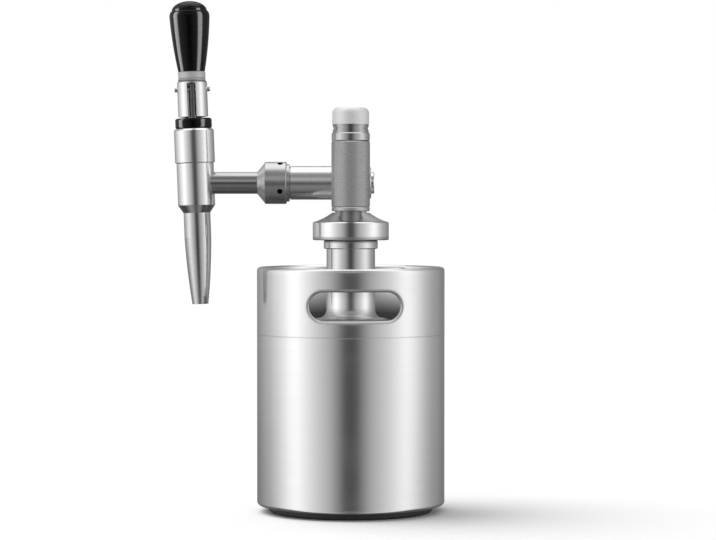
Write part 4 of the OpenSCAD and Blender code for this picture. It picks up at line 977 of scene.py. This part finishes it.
# %% Collar strip
KEG_R, SHEET, SEAM_Z, SEAM_BEVEL = 67.5, 1.0, 128.0, 0.4
RIM_Z, RIM_R, RIM_TAIL, ROLL_STEPS = 176.0, 2.5, 1.5, 12
COLLAR_COLUMNS, COLLAR_ROWS, COLLAR_ROW, FIRST_ROW, LAST_ROW = 300, 30, 1.25, 3, 2
inner_r, roll_r = KEG_R - SHEET, RIM_R - SHEET
rim_x, rim_low = KEG_R - RIM_R, RIM_Z - RIM_R
foot_edge = [(inner_r, SEAM_Z), (KEG_R - SEAM_BEVEL, SEAM_Z), (KEG_R, SEAM_Z + SEAM_BEVEL)]
rows = [SEAM_Z + FIRST_ROW + COLLAR_ROW * step for step in range(COLLAR_ROWS)]
rows += [rim_low - LAST_ROW, rim_low]
roll = [math.radians(180 * step / ROLL_STEPS) for step in range(ROLL_STEPS + 1)]
collar = spun(
    foot_edge
    + [(KEG_R, height) for height in rows]
    + [(rim_x + RIM_R * math.cos(a), rim_low + RIM_R * math.sin(a)) for a in roll[1:]]
    + [(rim_x - RIM_R, rim_low - RIM_TAIL), (rim_x - roll_r, rim_low - RIM_TAIL)]
    + [(rim_x - roll_r * math.cos(a), rim_low + roll_r * math.sin(a)) for a in roll]
    + [(inner_r, height) for height in rows[-2::-1]],
    COLLAR_COLUMNS,
)
bmesh.ops.remove_doubles(collar, verts=collar.verts, dist=MERGE)
print("strip of", len(collar.faces), "faces")

# %% [markdown]
# ## The hand slot
# A press pushes the slot through the collar from the front and folds its edge inwards, so that
# no sharp edge meets the fingers. A Boolean would cut the slot, but it leaves an uneven mesh
# and no lip. The slot is made in three steps instead: its outline, the opening and the fold.
# The outline is a long hole with round ends, as it is seen from the front.

# %% Slot outline
SLOT_W, SLOT_H, SLOT_Z, SLOT_TURN = 64.0, 20.0, 149.8, math.radians(3)
LIP_DEPTH, LIP_BEND = 3.0, 2.2
slot_facing = Matrix.Rotation(SLOT_TURN, 3, "Z")
slot_half = (SLOT_W - SLOT_H) / 2


def slot_edge(point, grow, reach):
    """The nearest place on the slot's outline, grown by a margin, at a distance from the axis."""
    flat = slot_facing.inverted() @ point / MM
    middle = Vector((max(-slot_half, min(slot_half, flat.x)), SLOT_Z))
    away = (Vector((flat.x, flat.z)) - middle).normalized() * (SLOT_H / 2 + grow)
    x, z = middle + away
    return slot_facing @ Vector((x, -math.sqrt(reach ** 2 - x ** 2), z)) * MM


def in_slot(face):
    """Tells whether a face of the strip lies in the slot, seen from the front."""
    centre = slot_facing.inverted() @ face.calc_center_median()
    across = centre.x / centre.xy.length * KEG_R
    aside = max(0.0, abs(across) - slot_half)
    return centre.y < 0 and math.hypot(aside, centre.z / MM - SLOT_Z) < SLOT_H / 2 + LIP_BEND


print("slot of", SLOT_W, "by", SLOT_H, "mm")

# %% [markdown]
# ### Opening the slot
# A face belongs to the inner or the outer wall by its distance from the axis, and the inner
# wall gets the dull finish. The faces in the slot are then deleted on both walls, which leaves
# two ragged edges. A knife cut would leave thin slivers; points that are pulled onto the
# outline keep the mesh even.

# %% Slot opening
SATIN, INSIDE, LIP = range(3)
INSIDE_MARGIN = 0.2
for face in collar.faces:
    face_r = face.calc_center_median().xy.length / MM
    face.material_index = INSIDE if abs(face_r - inner_r) < INSIDE_MARGIN else SATIN
bmesh.ops.delete(collar, geom=[face for face in collar.faces if in_slot(face)], context="FACES")
ragged = [edge for edge in collar.edges if edge.is_boundary]
middle_r = (KEG_R - SHEET / 2) * MM
outer_edge = [edge for edge in ragged if edge.verts[0].co.xy.length > middle_r]
inner_edge = [edge for edge in ragged if edge.verts[0].co.xy.length <= middle_r]
for edges, grow, reach in ((outer_edge, LIP_BEND, KEG_R), (inner_edge, SHEET, inner_r)):
    for vert in {vert for edge in edges for vert in edge.verts}:
        vert.co = slot_edge(vert.co, grow, reach)
print("slot's edges:", len(outer_edge), "outside,", len(inner_edge), "inside")

# %% [markdown]
# ### Folding the lip
# The press draws the sheet round a small bend and straight inwards. A Bevel modifier would
# round the edge, but can't fold it. Here the edge is extruded step by step, and each time the
# new points are put on the outline at another distance from the axis. A bridge joins the last
# edge to the inner wall, so that the sheet is closed. The lip has a duller finish of its own.

# %% Folded lip
BEND_STEPS = 5
bend_turns = [math.radians(90 * step / BEND_STEPS) for step in range(1, BEND_STEPS + 1)]
fold = [(LIP_BEND * (1 - math.sin(a)), KEG_R - LIP_BEND * (1 - math.cos(a))) for a in bend_turns]
fold += [(0, inner_r - LIP_DEPTH), (SHEET, inner_r - LIP_DEPTH)]
lip = outer_edge
for grow, reach in fold:
    grown = bmesh.ops.extrude_edge_only(collar, edges=lip)["geom"]
    fresh = {item for item in grown if isinstance(item, bmesh.types.BMVert)}
    lip = [item for item in grown
           if isinstance(item, bmesh.types.BMEdge) and fresh.issuperset(item.verts)]
    for vert in fresh:
        vert.co = slot_edge(vert.co, grow, reach)
    for item in grown:
        if isinstance(item, bmesh.types.BMFace):
            item.material_index = LIP
bmesh.ops.bridge_loops(collar, edges=lip + inner_edge)
collar_piece = make_piece(collar, "slotted_collar", [satin_keg, inside_steel, lip_steel], "keg",
                          "keg_steel", "handle_collar", crease=32)

# %% [markdown]
# ## The seam below the collar
# The collar stands on the wall, and the joint between their two bevelled edges is welded all
# round and ground nearly flush. A dark line in the wall's finish could stand for it, but would
# catch no light. A three-cornered ring fills the groove and leaves a hair line.

# %% Seam weld
SEAM_SINK, SEAM_ROOT = 0.05, 0.1
seam = spun(
    [(KEG_R - SEAM_BEVEL - SEAM_ROOT, SEAM_Z),
     (KEG_R - SEAM_SINK, SEAM_Z - SEAM_BEVEL + SEAM_SINK),
     (KEG_R - SEAM_SINK, SEAM_Z + SEAM_BEVEL - SEAM_SINK)],
    COLLAR_COLUMNS,
)
make_piece(seam, "seam_weld", [seam_steel], "keg", "keg_steel")

# %% [markdown]
# ## White cards
# Polished steel also shows its dark neighbours: the cap would mirror the holder above it, and
# the neck the inside of the collar. In a studio, small white cards between them keep the steel
# bright. Cards would have to be hidden from every other view, so here these pieces are left
# out of what a reflection can see.

# %% White cards
carded = [collar_piece, grip_piece, nodes["holder_sleeve"], nodes["holder_cap"]]
for piece in carded:
    piece.visible_glossy = False
print("left out of reflections:", len(carded), "pieces")
